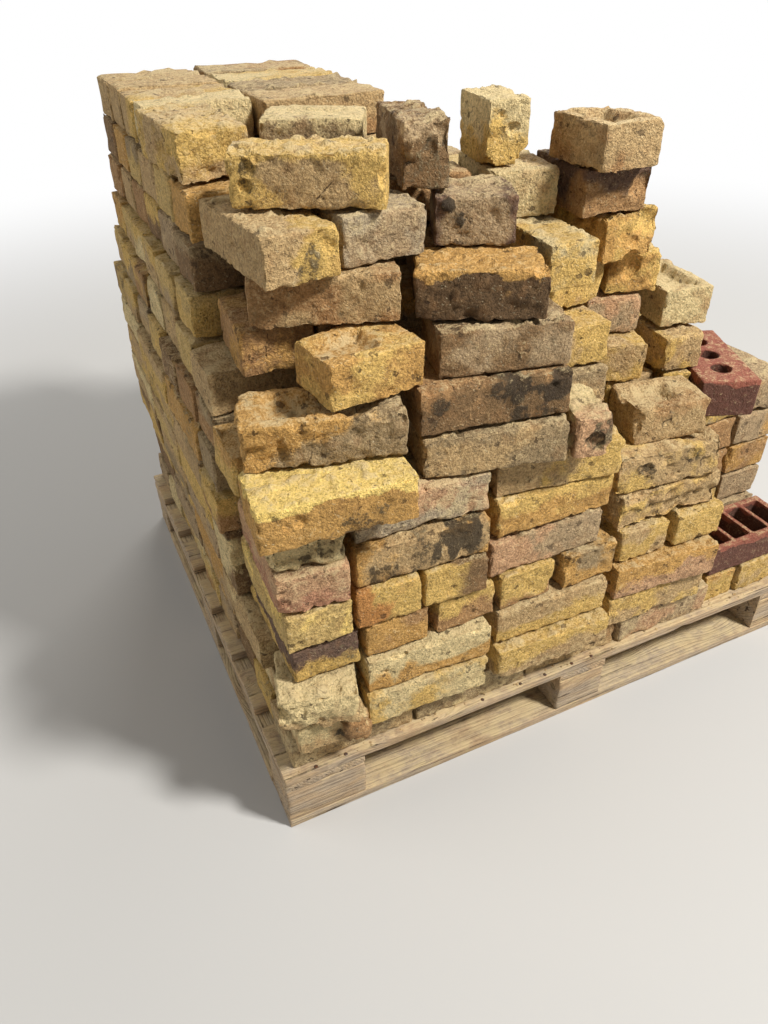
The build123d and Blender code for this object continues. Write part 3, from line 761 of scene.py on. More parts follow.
class Nodes:
    """Adds and joins nodes in one tree."""

    def __init__(self, tree):
        self.tree = tree

    def add(self, kind, inputs=(), **settings):
        """A new node with its settings, and its inputs by name or in their order."""
        node = self.tree.nodes.new(kind)
        for label, value in settings.items():
            setattr(node, label, value)
        for label, value in inputs.items() if isinstance(inputs, dict) else enumerate(inputs):
            if isinstance(value, Value):
                self.tree.links.new(value.socket, node.inputs[label])
            else:
                node.inputs[label].default_value = value
        return node

    def all_out(self, kind, inputs=(), **settings):
        """All that a new node puts out, by name."""
        return {socket.name: Value(self, socket) for socket in self.add(kind, inputs, **settings).outputs}

    def out(self, kind, inputs=(), output=0, **settings):
        """One thing that a new node puts out."""
        return Value(self, self.add(kind, inputs, **settings).outputs[output])

    def math(self, operation, *values):
        return self.out("ShaderNodeMath", values, operation=operation)

    def vector(self, operation, *values):
        return self.out("ShaderNodeVectorMath", values, operation=operation)

    def moved(self, place, x, y, z):
        return self.vector("ADD", place, (x, y, z))

    def scaled(self, value, scale):
        return self.out("ShaderNodeVectorMath", {0: value, "Scale": scale}, operation="SCALE")

    def mixed(self, share, first, second):
        """One colour laid over another."""
        return self.out("ShaderNodeMix", {0: share, 6: first, 7: second}, 2, data_type="RGBA")

    def ramp(self, value, low, high, bottom=0.0, top=1.0):
        """Runs smoothly from bottom to top while a value goes from low to high."""
        return self.out("ShaderNodeMapRange", (value, low, high, bottom, top),
                        interpolation_type="SMOOTHSTEP")

    def noise(self, place, scale, detail, roughness):
        return self.out("ShaderNodeTexNoise", {
            "Vector": place, "Scale": scale, "Detail": detail, "Roughness": roughness})

    def grain(self, place, along, across, detail, roughness):
        """Noise drawn out along X."""
        return self.noise(self.vector("MULTIPLY", place, (along, across, across)), 1.0, detail, roughness)

    def cells(self, place, scale):
        """How far a place is from the middle of its cell, and a chance of the cell's own."""
        cell = self.all_out("ShaderNodeTexVoronoi", {"Vector": place, "Scale": scale})
        return cell["Distance"], self.out("ShaderNodeSeparateColor", (cell["Color"],))


def new_tree(kind, name, inputs, outputs):
    """A tree of nodes with named sockets, and the inputs to read inside it."""
    tree = bpy.data.node_groups.new(name, kind)
    for label, socket_kind, *default in inputs:
        socket = tree.interface.new_socket(label, in_out="INPUT", socket_type="NodeSocket" + socket_kind)
        if default:
            socket.default_value = default[0]
    for label, socket_kind in outputs:
        tree.interface.new_socket(label, in_out="OUTPUT", socket_type="NodeSocket" + socket_kind)
    nodes = Nodes(tree)
    return nodes, nodes.all_out("NodeGroupInput")


FINISH_OUT = (("Color", "Color"), ("Roughness", "Float"), ("Height", "Float"))


def dust_group():
    """Pale dust that settles in clouds over any finish."""
    nodes, given = new_tree("ShaderNodeTree", "settled_dust", (
        ("Color", "Color"), ("Dust Color", "Color", SHADES["dust"]),
        ("Amount", "Float", 0.0), ("Cloud", "Float", 0.5), ("Grain", "Float", 0.5)), (("Color", "Color"),))
    mask = nodes.ramp(given["Amount"] + 1.6 * given["Cloud"] + 1.2 * given["Grain"], 1.62, 2.25, 0.0, 0.8)
    nodes.add("NodeGroupOutput", (nodes.mixed(mask, given["Color"], given["Dust Color"]),))
    return nodes.tree


def dusted(nodes, dust, colour, amount, cloud, grain):
    return nodes.out("ShaderNodeGroup", {"Color": colour, "Amount": amount, "Cloud": cloud, "Grain": grain},
                     node_tree=dust)


def fired_clay_group(dust):
    """Hand-made fired clay: mottled, pitted and specked, with breaks, soot, dust and cracks, and painted
    shade in its pits and cracks.
    """
    nodes, given = new_tree("ShaderNodeTree", "fired_clay", (
        ("Place", "Vector"), ("Tint", "Color"), ("Second Tint", "Color"), ("Share", "Float", 0.0),
        ("Fresh", "Float", 0.0), ("Dust", "Float", 0.0), ("Soot", "Float", 0.0), ("Crack", "Float", 1.0),
        ("Mottle", "Float", 1.0), ("Pits", "Float", 1.0), ("Burnt Color", "Color", SHADES["burnt clay"]),
        ("Soot Color", "Color", SHADES["soot"])), FINISH_OUT)
    place, fresh, mottle = given["Place"], given["Fresh"], given["Mottle"]
    broad = nodes.noise(place, 22.0, 2.0, 0.5)
    middle = nodes.noise(nodes.moved(place, 2, 5, 3), 90.0, 4.0, 0.65)
    fine = nodes.noise(nodes.moved(place, 3, 1, 7), 270.0, 3.0, 0.75)
    warp = nodes.out("ShaderNodeCombineXYZ", (0.030 * middle, 0.016 * fine, -0.022 * middle))
    warped = nodes.vector("ADD", place, warp)
    # Two clays that run into each other, with a ragged border
    edge = middle + given["Share"] + 0.4 * fine - 0.5
    colour = nodes.mixed(nodes.ramp(edge, 0.42, 1.0), given["Tint"], given["Second Tint"])
    # Light and shade of the grain, darkest in the hollows
    shade = mottle * (0.5 * broad + 1.1 * middle + 2.3 * fine - 1.95) + 1.0
    colour = nodes.scaled(colour, nodes.math("MAXIMUM", shade, 0.3))
    burnt = nodes.ramp(nodes.noise(nodes.moved(place, 9, 4, 2), 38.0, 2.0, 0.6), 0.5, 0.75, 0.0, 0.5)
    colour = nodes.mixed(burnt * mottle, colour, nodes.mixed(0.5, given["Burnt Color"], colour))
    colour = nodes.mixed(0.8 * fresh, colour, nodes.scaled(colour, 1.22))
    # Specks of cinder and chalk in the clay
    off, chance = nodes.cells(warped, 300.0)
    dot = nodes.ramp(off, 0.25, 0.45, 1.0, 0.0) * mottle
    colour = nodes.mixed(dot * nodes.ramp(chance, 0.86, 0.94, 0.0, 0.5), colour, SHADES["cinder"])
    colour = nodes.mixed(dot * nodes.ramp(chance, 0.04, 0.09, 0.5, 0.0), colour, SHADES["chalk"])
    # Soot and painted shade, then dust
    soot = nodes.ramp(given["Soot"] + 1.6 * middle + fine, 1.64, 2.0, 0.0, 0.88)
    colour = nodes.mixed(soot, colour, given["Soot Color"])
    colour = dusted(nodes, dust, colour, given["Dust"], middle, fine)
    # Blown pits, drying cracks and the cracks of the brick, sunk in the height and darkened with painted
    # shade
    off, luck = nodes.cells(warped, 72.0)
    pit = nodes.ramp(0.50 * nodes.math("POWER", luck, 5.0) - 0.05 - off, 0.0, 0.09) * given["Pits"]
    seam = nodes.math("ABSOLUTE", nodes.noise(nodes.moved(place, 4, 4, 9), 20.0, 3.0, 0.6) - 0.5)
    seam = nodes.ramp(seam, 0.002, 0.009, 1.0, 0.0) * nodes.ramp(broad, 0.5, 0.62)
    crack = nodes.ramp(given["Crack"] + 0.004 * fine - 0.002, 0.0003, 0.0016, 1.0, 0.0)
    fissure = nodes.math("MAXIMUM", 0.7 * seam * given["Pits"], crack)
    hollow = nodes.math("MAXIMUM", 0.65 * pit, 0.75 * fissure)
    nodes.add("NodeGroupOutput", {
        "Color": nodes.mixed(hollow, colour, SHADES["hollow"]),
        "Roughness": 0.15 * middle + 0.83,
        "Height": 0.0052 * middle + 0.0044 * fine + 0.0030 * middle * fresh - 0.0030 * pit - 0.0022 * crack})
    return nodes.tree


def weathered_grain_group(dust):
    """Rough-sawn softwood gone grey, with its grain along X and painted shade in its checks."""
    nodes, given = new_tree("ShaderNodeTree", "weathered_grain", (
        ("Place", "Vector"), ("Tint", "Color"), ("Silver Color", "Color", SHADES["silver wood"]),
        ("Dust", "Float", 0.0), ("Fresh", "Float", 0.0)), FINISH_OUT)
    place = given["Place"]
    knot = nodes.out("ShaderNodeTexVoronoi", {
        "Vector": nodes.vector("MULTIPLY", place, (3.0, 9.0, 9.0)), "Scale": 1.0}, "Distance")
    bend = nodes.ramp(knot, 0.0, 0.35, 0.02, 0.0)
    curved = nodes.vector("ADD", place, nodes.out("ShaderNodeCombineXYZ", (0.0, bend, bend)))
    fibre = nodes.grain(curved, 6.0, 170.0, 5.0, 0.65)
    hair = nodes.grain(curved, 30.0, 700.0, 3.0, 0.7)
    rings = nodes.out("ShaderNodeTexWave", {
        "Vector": nodes.vector("MULTIPLY", curved, (1.4, 70.0, 70.0)), "Scale": 1.0, "Distortion": 9.0,
        "Detail": 3.0, "Detail Scale": 0.6, "Detail Roughness": 0.6}, "Fac", bands_direction="DIAGONAL")
    late = nodes.ramp(rings, 0.55, 0.95)
    grime = nodes.noise(nodes.moved(place, 7, 3, 1), 34.0, 4.0, 0.7)
    silver = nodes.ramp(nodes.grain(place, 6.0, 22.0, 4.0, 0.65), 0.35, 0.62, 0.15, 0.95)
    colour = nodes.mixed(silver, given["Tint"], given["Silver Color"])
    colour = nodes.scaled(colour, fibre + 0.9 * hair + 0.7 * grime - 0.17 * late - 0.19)
    colour = nodes.mixed(0.5 * given["Fresh"], colour, SHADES["broken wood"])
    # Checks, sunk in the height and darkened as painted shade, and the dark cores of the knots
    check = nodes.ramp(nodes.grain(curved, 3.5, 110.0, 4.0, 0.55), 0.63, 0.67)
    dark = nodes.math("MAXIMUM", 0.8 * check, 0.65 * nodes.ramp(knot, 0.05, 0.10, 1.0, 0.0))
    colour = nodes.mixed(dark, colour, SHADES["split wood"])
    colour = nodes.mixed(nodes.ramp(grime, 0.54, 0.72, 0.0, 0.45), colour, SHADES["grime"])
    nodes.add("NodeGroupOutput", {
        "Color": dusted(nodes, dust, colour, given["Dust"], grime, hair),
        "Roughness": 0.2 * fibre + 0.72,
        "Height": 0.0016 * fibre - 0.0007 * late + 0.0008 * hair - 0.0030 * check})
    return nodes.tree


def rust_group():
    """Rusted steel."""
    nodes, given = new_tree("ShaderNodeTree", "rusted_steel", (
        ("Place", "Vector"), ("Steel Color", "Color", SHADES["steel"]),
        ("Rust Color", "Color", SHADES["rust"])), FINISH_OUT)
    cloud = nodes.noise(given["Place"], 400.0, 4.0, 0.6)
    mask = nodes.ramp(cloud, 0.38, 0.62)
    nodes.add("NodeGroupOutput", {
        "Color": nodes.mixed(mask, given["Steel Color"], given["Rust Color"]),
        "Roughness": 0.35 * mask + 0.5, "Height": 0.0003 * cloud})
    return nodes.tree


def attribute(nodes, name, output):
    return nodes.out("ShaderNodeAttribute", output=output, attribute_name=name)


def place_on(nodes):
    """What a plain piece's material reads: the place on it."""
    return {"Place": nodes.out("ShaderNodeTexCoord", output="Object")}


def facts_of_board(nodes):
    """What a board's material reads from the board: its grain, tint and wear."""
    wear = nodes.all_out("ShaderNodeSeparateColor", (attribute(nodes, "wear", "Color"),))
    return {"Place": attribute(nodes, "lot", "Vector"), "Tint": attribute(nodes, "tint", "Color"),
            "Fresh": wear["Red"], "Dust": wear["Green"]}


def facts_of_brick(nodes):
    """What a brick's material reads from the brick: its lot, tints, wear with its painted shade, and cracks.
    """
    wear = nodes.all_out("ShaderNodeSeparateColor", (attribute(nodes, "wear", "Color"),))
    return {
        "Place": nodes.vector("ADD", place_on(nodes)["Place"], attribute(nodes, "lot", "Vector")),
        "Tint": attribute(nodes, "tint", "Color"), "Second Tint": attribute(nodes, "second_tint", "Color"),
        "Fresh": wear["Red"], "Dust": wear["Green"], "Soot": wear["Blue"],
        "Share": attribute(nodes, "wear", "Alpha"), "Crack": attribute(nodes, "crack", "Fac")}


# Each material's group, what it reads from its piece, its own values and how metallic it is
FINISHES = {
    "weathered_clay": ("fired_clay", facts_of_brick, {}, 0.0),
    "plain_clay": ("fired_clay", place_on, {
        "Tint": opaque(CLAYS["drab"]), "Second Tint": opaque(CLAYS["buff"]), "Share": 0.5}, 0.0),
    "pressed_clay": ("fired_clay", facts_of_brick, {
        "Mottle": 0.5, "Pits": 0.3, "Burnt Color": SHADES["burnt red clay"]}, 0.0),
    "grey_softwood": ("weathered_grain", facts_of_board, {}, 0.0),
    "rusted_steel_heads": ("rusted_steel", place_on, {}, 0.55),
}


def emptied(data):
    """The nodes of a new material or world."""
    data.use_nodes = True
    data.node_tree.nodes.clear()
    return Nodes(data.node_tree)


def material_named(name):
    """A finish, built once, when the first piece needs it: its group on a Principled BSDF."""
    if name in bpy.data.materials:
        return bpy.data.materials[name]
    groups = bpy.data.node_groups
    if "settled_dust" not in groups:
        dust = dust_group()
        fired_clay_group(dust)
        weathered_grain_group(dust)
        rust_group()
    group, reads, values, metallic = FINISHES[name]
    material = bpy.data.materials.new(name)
    nodes = emptied(material)
    finish = nodes.all_out("ShaderNodeGroup", {**reads(nodes), **values}, node_tree=groups[group])
    bump = nodes.out("ShaderNodeBump", {"Height": finish["Height"], "Distance": 1.0, "Strength": 1.0})
    shader = nodes.out("ShaderNodeBsdfPrincipled", {
        "Base Color": finish["Color"], "Roughness": finish["Roughness"], "Normal": bump,
        "Specular IOR Level": 0.25, "Metallic": metallic})
    nodes.add("ShaderNodeOutputMaterial", {"Surface": shader})
    return material


def geometry_tree(name, *inputs):
    """A geometry tree that takes a piece and a material, with named inputs."""
    return new_tree("GeometryNodeTree", name, (("Geometry", "Geometry"), *inputs, ("Material", "Material")),
                    (("Geometry", "Geometry"),))


def closed_tree(nodes, given, geometry):
    """Ends a tree with real geometry and its material."""
    real = nodes.out("GeometryNodeRealizeInstances", {"Geometry": geometry})
    made = nodes.out("GeometryNodeSetMaterial", {"Geometry": real, "Material": given["Material"]})
    nodes.add("NodeGroupOutput", {"Geometry": made})
    return nodes.tree


def pushed(nodes, geometry, amount):
    """Moves a piece's points outwards by an amount."""
    offset = nodes.scaled(nodes.out("GeometryNodeInputNormal"), amount)
    return nodes.out("GeometryNodeSetPosition", {"Geometry": geometry, "Offset": offset})


def crumbled_tree():
    """Pushes a shell in and out by noise that starts afresh on every brick. It is built once."""
    if "crumbled_face" in bpy.data.node_groups:
        return bpy.data.node_groups["crumbled_face"]
    nodes, given = geometry_tree("crumbled_face", ("Depth", "Float", 0.0015), ("Lump Size", "Float", 0.012))
    lot = nodes.out("GeometryNodeInputNamedAttribute", {"Name": "lot"}, data_type="FLOAT_VECTOR")
    place = nodes.vector("ADD", nodes.out("GeometryNodeInputPosition"), lot)
    scale = nodes.math("DIVIDE", 1.0, given["Lump Size"])
    swell = nodes.math("MINIMUM", nodes.noise(place, scale, 4.0, 0.6) - 0.5, 0.08)
    torn = nodes.ramp(nodes.noise(nodes.moved(place, 5, 2, 8), scale, 2.0, 0.5), 0.61, 0.69, 0.0, -0.8)
    return closed_tree(nodes, given, pushed(nodes, given["Geometry"], (swell + torn) * given["Depth"]))


def nail_tree():
    """Sets a low domed nail head on every point."""
    nodes, given = geometry_tree(
        "nail_head_on_points", ("Head Radius", "Float", 0.0035), ("Dome", "Float", 0.34))
    ball = nodes.out("GeometryNodeMeshUVSphere", {
        "Segments": 20, "Rings": 10, "Radius": given["Head Radius"]})
    shape = nodes.out("ShaderNodeCombineXYZ", (1.0, 1.0, given["Dome"]))
    head = nodes.out("GeometryNodeTransform", {"Geometry": ball, "Scale": shape})
    lean = nodes.out("FunctionNodeRandomValue", {
        0: (-HEAD_LEAN, -HEAD_LEAN, 0.0), 1: (HEAD_LEAN, HEAD_LEAN, FULL_TURN), "Seed": 3},
        data_type="FLOAT_VECTOR")
    heads = nodes.out("GeometryNodeInstanceOnPoints", {
        "Points": given["Geometry"], "Instance": head, "Rotation": lean})
    return closed_tree(nodes, given, heads)


def crumb_tree():
    """Scatters crumbs of brick and mortar over a strip."""
    nodes, given = geometry_tree(
        "crumbs_on_strip", ("Per Square Metre", "Float", 9000.0), ("Smallest", "Float", 0.0006),
        ("Largest", "Float", 0.0032), ("Seed", "Int", 5))
    spots = nodes.out("GeometryNodeDistributePointsOnFaces", {
        "Mesh": given["Geometry"], "Density": given["Per Square Metre"], "Seed": given["Seed"]})
    ball = nodes.out("GeometryNodeMeshIcoSphere", {"Radius": 1.0, "Subdivisions": 2})
    dent = nodes.noise(nodes.out("GeometryNodeInputPosition"), 1.3, 2.0, 0.6)
    lump = pushed(nodes, ball, 1.2 * dent - 0.7)
    chance = nodes.out("FunctionNodeRandomValue", {2: 0.0, 3: 1.0, "Seed": given["Seed"]}, 1,
                       data_type="FLOAT")
    size = nodes.math("POWER", chance, 3.0) * (given["Largest"] - given["Smallest"]) + given["Smallest"]
    turn = nodes.out("FunctionNodeRandomValue", {1: (FULL_TURN,) * 3, "Seed": 9}, data_type="FLOAT_VECTOR")
    crumbs = nodes.out("GeometryNodeInstanceOnPoints", {
        "Points": spots, "Instance": lump, "Rotation": turn, "Scale": size})
    return closed_tree(nodes, given, crumbs)


# Settings

class BrickSettings(bpy.types.PropertyGroup):
    """How far the bricks are worn."""

    arris: bpy.props.FloatProperty(
        name="Worn Arris", description="Usual radius that the edges are worn to",
        default=0.0034, min=0.001, max=0.02, unit="LENGTH", precision=4)
    unevenness: bpy.props.FloatProperty(
        name="Unevenness", description="How far the faces go in and out",
        default=0.0020, min=0.0, max=0.01, unit="LENGTH", precision=4)
    bed_gap: bpy.props.FloatProperty(
        name="Bed Gap", description="Usual gap between a brick and the course above it",
        default=0.0040, min=0.0005, max=0.008, unit="LENGTH", precision=4)
    crumble: bpy.props.FloatProperty(
        name="Crumble", description="Depth of the fine broken texture",
        default=0.0030, min=0.0, max=0.01, unit="LENGTH", precision=4)
    crumb_size: bpy.props.FloatProperty(
        name="Crumb Size", description="Size of the lumps in the fine broken texture",
        default=0.011, min=0.003, max=0.05, unit="LENGTH", precision=4)
    front_grid: bpy.props.FloatProperty(
        name="Front Grid", description="Spacing of the mesh on bricks of the lit face",
        default=0.0042, min=0.003, max=0.03, unit="LENGTH", precision=4)
    rest_grid: bpy.props.FloatProperty(
        name="Rest Grid", description="Spacing of the mesh on the other bricks",
        default=0.016, min=0.005, max=0.05, unit="LENGTH", precision=4)


class PalletSettings(bpy.types.PropertyGroup):
    """How the pallet has weathered."""

    arris: bpy.props.FloatProperty(
        name="Board Arris", description="Radius that the edges of the boards are worn to",
        default=0.0016, min=0.0003, max=0.01, unit="LENGTH", precision=4)
    fray: bpy.props.FloatProperty(
        name="Frayed Ends", description="How far the ends of the fibres stand back from each other",
        default=0.0022, min=0.0, max=0.01, unit="LENGTH", precision=4)
    new_wood: bpy.props.FloatVectorProperty(
        name="Sawn Wood", description="Colour of the softwood where it has not gone grey",
        default=(0.70, 0.58, 0.43), size=3, min=0.0, max=1.0, subtype="COLOR_GAMMA")
    grid: bpy.props.FloatProperty(
        name="Grid", description="Spacing of the mesh across the boards",
        default=0.009, min=0.004, max=0.05, unit="LENGTH", precision=4)
    head_radius: bpy.props.FloatProperty(
        name="Nail Head", description="Radius of a nail head",
        default=0.0035, min=0.001, max=0.01, unit="LENGTH", precision=4)


class StageSettings(bpy.types.PropertyGroup):
    """Camera, floor and lamps."""

    camera_place: bpy.props.FloatVectorProperty(
        name="Camera Place", description="Where the camera stands",
        default=(-0.766, -1.260, 1.239), size=3, subtype="TRANSLATION", unit="LENGTH", precision=3)
    heading: bpy.props.FloatProperty(
        name="Heading", description="Turn of the view from the Y axis towards X",
        default=math.radians(24.87), unit="ROTATION")
    dip: bpy.props.FloatProperty(
        name="Dip", description="How far the view points below the horizon",
        default=math.radians(36.54), unit="ROTATION")
    roll: bpy.props.FloatProperty(
        name="Roll", description="Turn of the camera about its own view",
        default=math.radians(-0.88), unit="ROTATION")
    lens: bpy.props.FloatProperty(
        name="Lens", description="Focal length for a 36 mm frame", default=27.42, min=10.0, max=200.0)
    floor: bpy.props.FloatVectorProperty(
        name="Floor", description="Colour of the floor", default=(0.74, 0.73, 0.71), size=3, min=0.0, max=1.0,
        subtype="COLOR_GAMMA")
    key: bpy.props.FloatProperty(
        name="Key Lamp", description="Power of the main lamp in watts", default=335.0, min=0.0)
    fill: bpy.props.FloatProperty(
        name="Fill", description="Strength of the light from all round", default=0.30, min=0.0)


# Making the pieces

# How far the outer grid lines lie from the ends of a brick's or a board's sides
FRONT_ENDS = (0.0, 0.0024, 0.0060)
REST_ENDS = (0.0, 0.0035, 0.010)
BOARD_SIDES = (0.0, 0.0022)
BOARD_ENDS = (0.0, 0.003, 0.009)
BOARD_STRIDE = 0.022  # least spacing of the grid along a board
FIBRE = 0.14  # how much the pattern is drawn out along the grain

# Sides of a laid brick that aren't seen, as axis and end
BACK, BED = (1, -1), (2, 0)

RED_BRICK = 900  # number of a red brick in its course


def brick_pile(name, node, course, settings):
    """One piece of all the bricks of a node."""
    parts = []
    for index, points in enumerate(solids_of(node)):
        laid = as_laid(points)
        look, lot = look_of(course, index, laid), lot_of(course, index)
        if laid.worn:
            part = weathered(laid, look, lot, (FRONT_ENDS, settings.front_grid), settings, (BACK, BED))
        else:
            part = weathered(laid, look, lot, (REST_ENDS, settings.rest_grid), settings, (BED,))
        parts.append(part)
    obj = finished(mesh_of(name, parts), material_named("weathered_clay"), crumbled_tree(), {
        "Depth": settings.crumble, "Lump Size": settings.crumb_size})
    hand_over(obj, "stock_brick", node)


def pressed_brick(name, node, course, voxel, soot, dust, *chips):
    """A machine-pressed red brick made from its CAD solid, with softened edges and chips."""
    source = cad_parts[node].data
    laid = as_laid(solids_of(node)[0])
    turn = np.array(Matrix.Rotation(laid.turn, 3, "Z"))
    points, triangles = merged((read(source.vertices, "co", 3) - laid.middle) @ turn, source, 6)
    rough = sheet_of(name, points.tolist(), triangles.tolist())
    remesh = rough.modifiers.new("even_mesh", "REMESH")
    remesh.mode = "VOXEL"
    remesh.voxel_size = voxel
    remesh.adaptivity = 0.0
    even = evaluated(rough)
    bpy.data.objects.remove(rough)
    lot = lot_of(course, RED_BRICK)
    body = Body(read(even.vertices, "co", 3), laid.half, lot)
    body.out = read(even.vertex_normals, "vector", 3)
    for *place, radius, depth in chips:
        body.bite(place, radius * MM, depth * MM, 0.12)
    rub = step(0.75, 1.1, (np.abs(body.home) ** 8).sum(axis=1))
    body.push(-0.0006 * rub * (1 + body.noise(0.012, 3)))
    body.colour(Look(0, 0, "wine", "red", "bed", 0.5, soot, dust, ()))
    body.fresh += 0.5 * rub
    faces = np.array([tuple(face.vertices) for face in even.polygons])
    obj = mesh_of(name, [(body.points @ turn.T + laid.middle, faces, body.facts(lot))])
    hand_over(finished(obj, material_named("pressed_clay")), "red_brick", node)


def plank(node, along, index, settings):
    """One weathered board or block with its grain along an axis."""
    low, high = (np.array(corner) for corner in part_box(node))
    middle, half = (low + high) / 2, (high - low) / 2
    stride = [settings.grid] * 3
    stride[along] = max(BOARD_STRIDE, settings.grid * 2.2) if half[along] > 0.2 else settings.grid * 0.8
    ends = [BOARD_SIDES] * 3
    ends[along] = BOARD_ENDS
    raw, faces = shell(*(lines(2 * half[axis], ends[axis], stride[axis]) for axis in range(3)))
    draw = np.random.default_rng(BOARD_SEED + index)
    lot = draw.uniform(1, 6, 3)
    body = Body(raw, half, lot)
    lengthwise = np.arange(3) == along
    body.where = raw * np.where(lengthwise, FIBRE, 1.0) + lot
    body.round_off(settings.arris)
    # Ends: fibres of uneven length, and a split or two
    side = np.sign(raw[:, along])
    end = step(0.9, 1.0, np.abs(body.home[:, along]) * half[along] / (half[along] - 0.004))
    across = raw * ~lengthwise + lot + side[:, None] * 3
    short = settings.fray * (0.5 + 0.5 * rough_noise(across, 0.012, 41))
    body.points[:, along] -= side * end * np.clip(short, 0, 1)
    body.push(0.0007 * np.minimum(body.noise(0.03, 43), 0.2))
    order = [along] + [axis for axis in range(3) if axis != along]
    for _ in range(draw.integers(2, 5)):
        place = draw.uniform(-1, 1, 3)
        edge_axis = 2 if draw.random() < 0.6 else order[1]
        place[order[1] if edge_axis == 2 else 2] = draw.choice((-1, 1))
        place[edge_axis] = draw.choice((-1, 1))
        body.bite(place, draw.uniform(0.01, 0.02), draw.uniform(0.0015, 0.004), 0.4)
    body.fresh *= 0.6
    body.tint[:] = np.array(linear(settings.new_wood)) * draw.uniform(0.86, 1.08)
    body.dust += 0.25 + 0.30 * step(0.5, 0.95, body.out[:, 2]) + 0.12 * body.noise(0.08, 47)
    facts = body.facts(lot)
    facts["lot"] = (raw + lot)[:, order]
    obj = mesh_of("weathered_" + node, [(body.points + middle, faces, facts)])
    hand_over(finished(obj, material_named("grey_softwood")), "pallet_wood", node)


class BRICKS_OT_lay_courses(bpy.types.Operator):
    """Lays the thirteen courses of weathered stock bricks"""
    bl_idname = "bricks.lay_courses"
    bl_label = "Lay Courses"

    def execute(self, context):
        for course in range(COURSES):
            name, node = f"course_{course + 1:02d}_stock_bricks", f"brick_course_{course + 1:02d}"
            brick_pile(name, node, course, context.scene.bricks)
        return {"FINISHED"}


class BRICKS_OT_set_bricks_on_edge(bpy.types.Operator):
    """Sets the two broken bricks on edge on the top"""
    bl_idname = "bricks.set_bricks_on_edge"
    bl_label = "Set Bricks on Edge"

    def execute(self, context):
        brick_pile("stock_bricks_on_edge", "bricks_on_edge", COURSES, context.scene.bricks)
        return {"FINISHED"}


class BRICKS_OT_fill_middle(bpy.types.Operator):
    """Gives the hidden middle of the stack its finish"""
    bl_idname = "bricks.fill_middle"
    bl_label = "Fill Middle"

    def execute(self, context):
        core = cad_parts["hidden_filling"]
        material = material_named("plain_clay")
        if core.data.materials:
            core.material_slots[0].material = material
        else:
            core.data.materials.append(material)
        return {"FINISHED"}


class BRICKS_OT_lay_perforated_brick(bpy.types.Operator):
    """Lays the red brick with three holes through its bed"""
    bl_idname = "bricks.lay_perforated_brick"
    bl_label = "Lay Perforated Brick"

    def execute(self, context):
        pressed_brick("red_brick_with_three_holes", "red_perforated_brick", 20, 0.0022, 0.1, 0.15,
                      (-1, -1, 1, 9, 3), (1, -1, 0.2, 8, 2), (1, 0.3, 1, 9, 3))
        return {"FINISHED"}


class BRICKS_OT_lay_hollow_brick(bpy.types.Operator):
    """Lays the red hollow brick with its open cells"""
    bl_idname = "bricks.lay_hollow_brick"
    bl_label = "Lay Hollow Brick"

    def execute(self, context):
        pressed_brick("red_hollow_brick_with_open_cells", "red_hollow_brick", 21, 0.0020, 0.05, 0.2,
                      (-1, -1, 1, 12, 4), (0.4, -1, 1, 9, 3), (1, -1, 0, 9, 2))
        return {"FINISHED"}


class BRICKS_OT_weather_pallet(bpy.types.Operator):
    """Weathers the boards, bearers and blocks of the pallet"""
    bl_idname = "bricks.weather_pallet"
    bl_label = "Weather Pallet"

    def execute(self, context):
        kinds = ("deck_board", "bearer", "block", "base_board")
        wooden = [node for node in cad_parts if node.startswith(kinds)]
        for index, node in enumerate(sorted(wooden)):
            low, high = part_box(node)
            along = 1 if node.startswith("bearer") or high[1] - low[1] > 0.5 else 0
            plank(node, along, index, context.scene.pallet)
        return {"FINISHED"}


class BRICKS_OT_drive_nails(bpy.types.Operator):
    """Drives the nails whose heads show in the lead board"""
    bl_idname = "bricks.drive_nails"
    bl_label = "Drive Nails"

    def execute(self, context):
        heads = [as_laid(points) for points in solids_of("nail_heads")]
        spots = [Vector(head.middle) - Vector((0, 0, head.half[2] * 1.1)) for head in heads]
        obj = sheet_of("domed_nail_heads", spots, ())
        finished(obj, material_named("rusted_steel_heads"), nail_tree(), {
            "Head Radius": context.scene.pallet.head_radius})
        hand_over(obj, "nail_steel", "nail_heads")
        return {"FINISHED"}


class BRICKS_OT_scatter_crumbs(bpy.types.Operator):
    """Scatters crumbs of brick over the strip of lead board that shows"""
    bl_idname = "bricks.scatter_crumbs"
    bl_label = "Scatter Crumbs"

    def execute(self, context):
        low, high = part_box("deck_board_1")
        left, right, near = low[0] + 0.02, high[0] - 0.02, low[1] + 0.004
        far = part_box("brick_course_01")[0][1] + 0.012
        top = high[2] - 0.0003
        spots = [(left, near, top), (right, near, top), (right, far, top), (left, far, top)]
        obj = finished(sheet_of("brick_crumbs", spots), material_named("plain_clay"), crumb_tree())
        hand_over(obj, "stock_brick")
        return {"FINISHED"}


# Name, place, size and share of the key lamp's power of each lamp
LAMPS = (
    ("key_lamp", (1.7, -2.7, 4.2), 0.7, 1.0),
    ("side_lamp", (-3.6, 1.2, 2.4), 2.5, 0.12),
    ("back_lamp", (1.8, 3.8, 3.0), 2.5, 0.30),
)
LAMP_TARGET = Vector((0, 0, 0.5))
FLOOR_REACH = 40.0
HAZE_FROM, HAZE_TO = 1.4, 4.2
WHITE = (1, 1, 1, 1)


def seen_rays(nodes):
    """1 for the rays that carry the background to the camera, straight, mirrored or through glass."""
    rays = nodes.all_out("ShaderNodeLightPath")
    mirrored = nodes.math("MAXIMUM", rays["Is Camera Ray"], rays["Is Glossy Ray"])
    return nodes.math("MAXIMUM", mirrored, rays["Is Transmission Ray"])


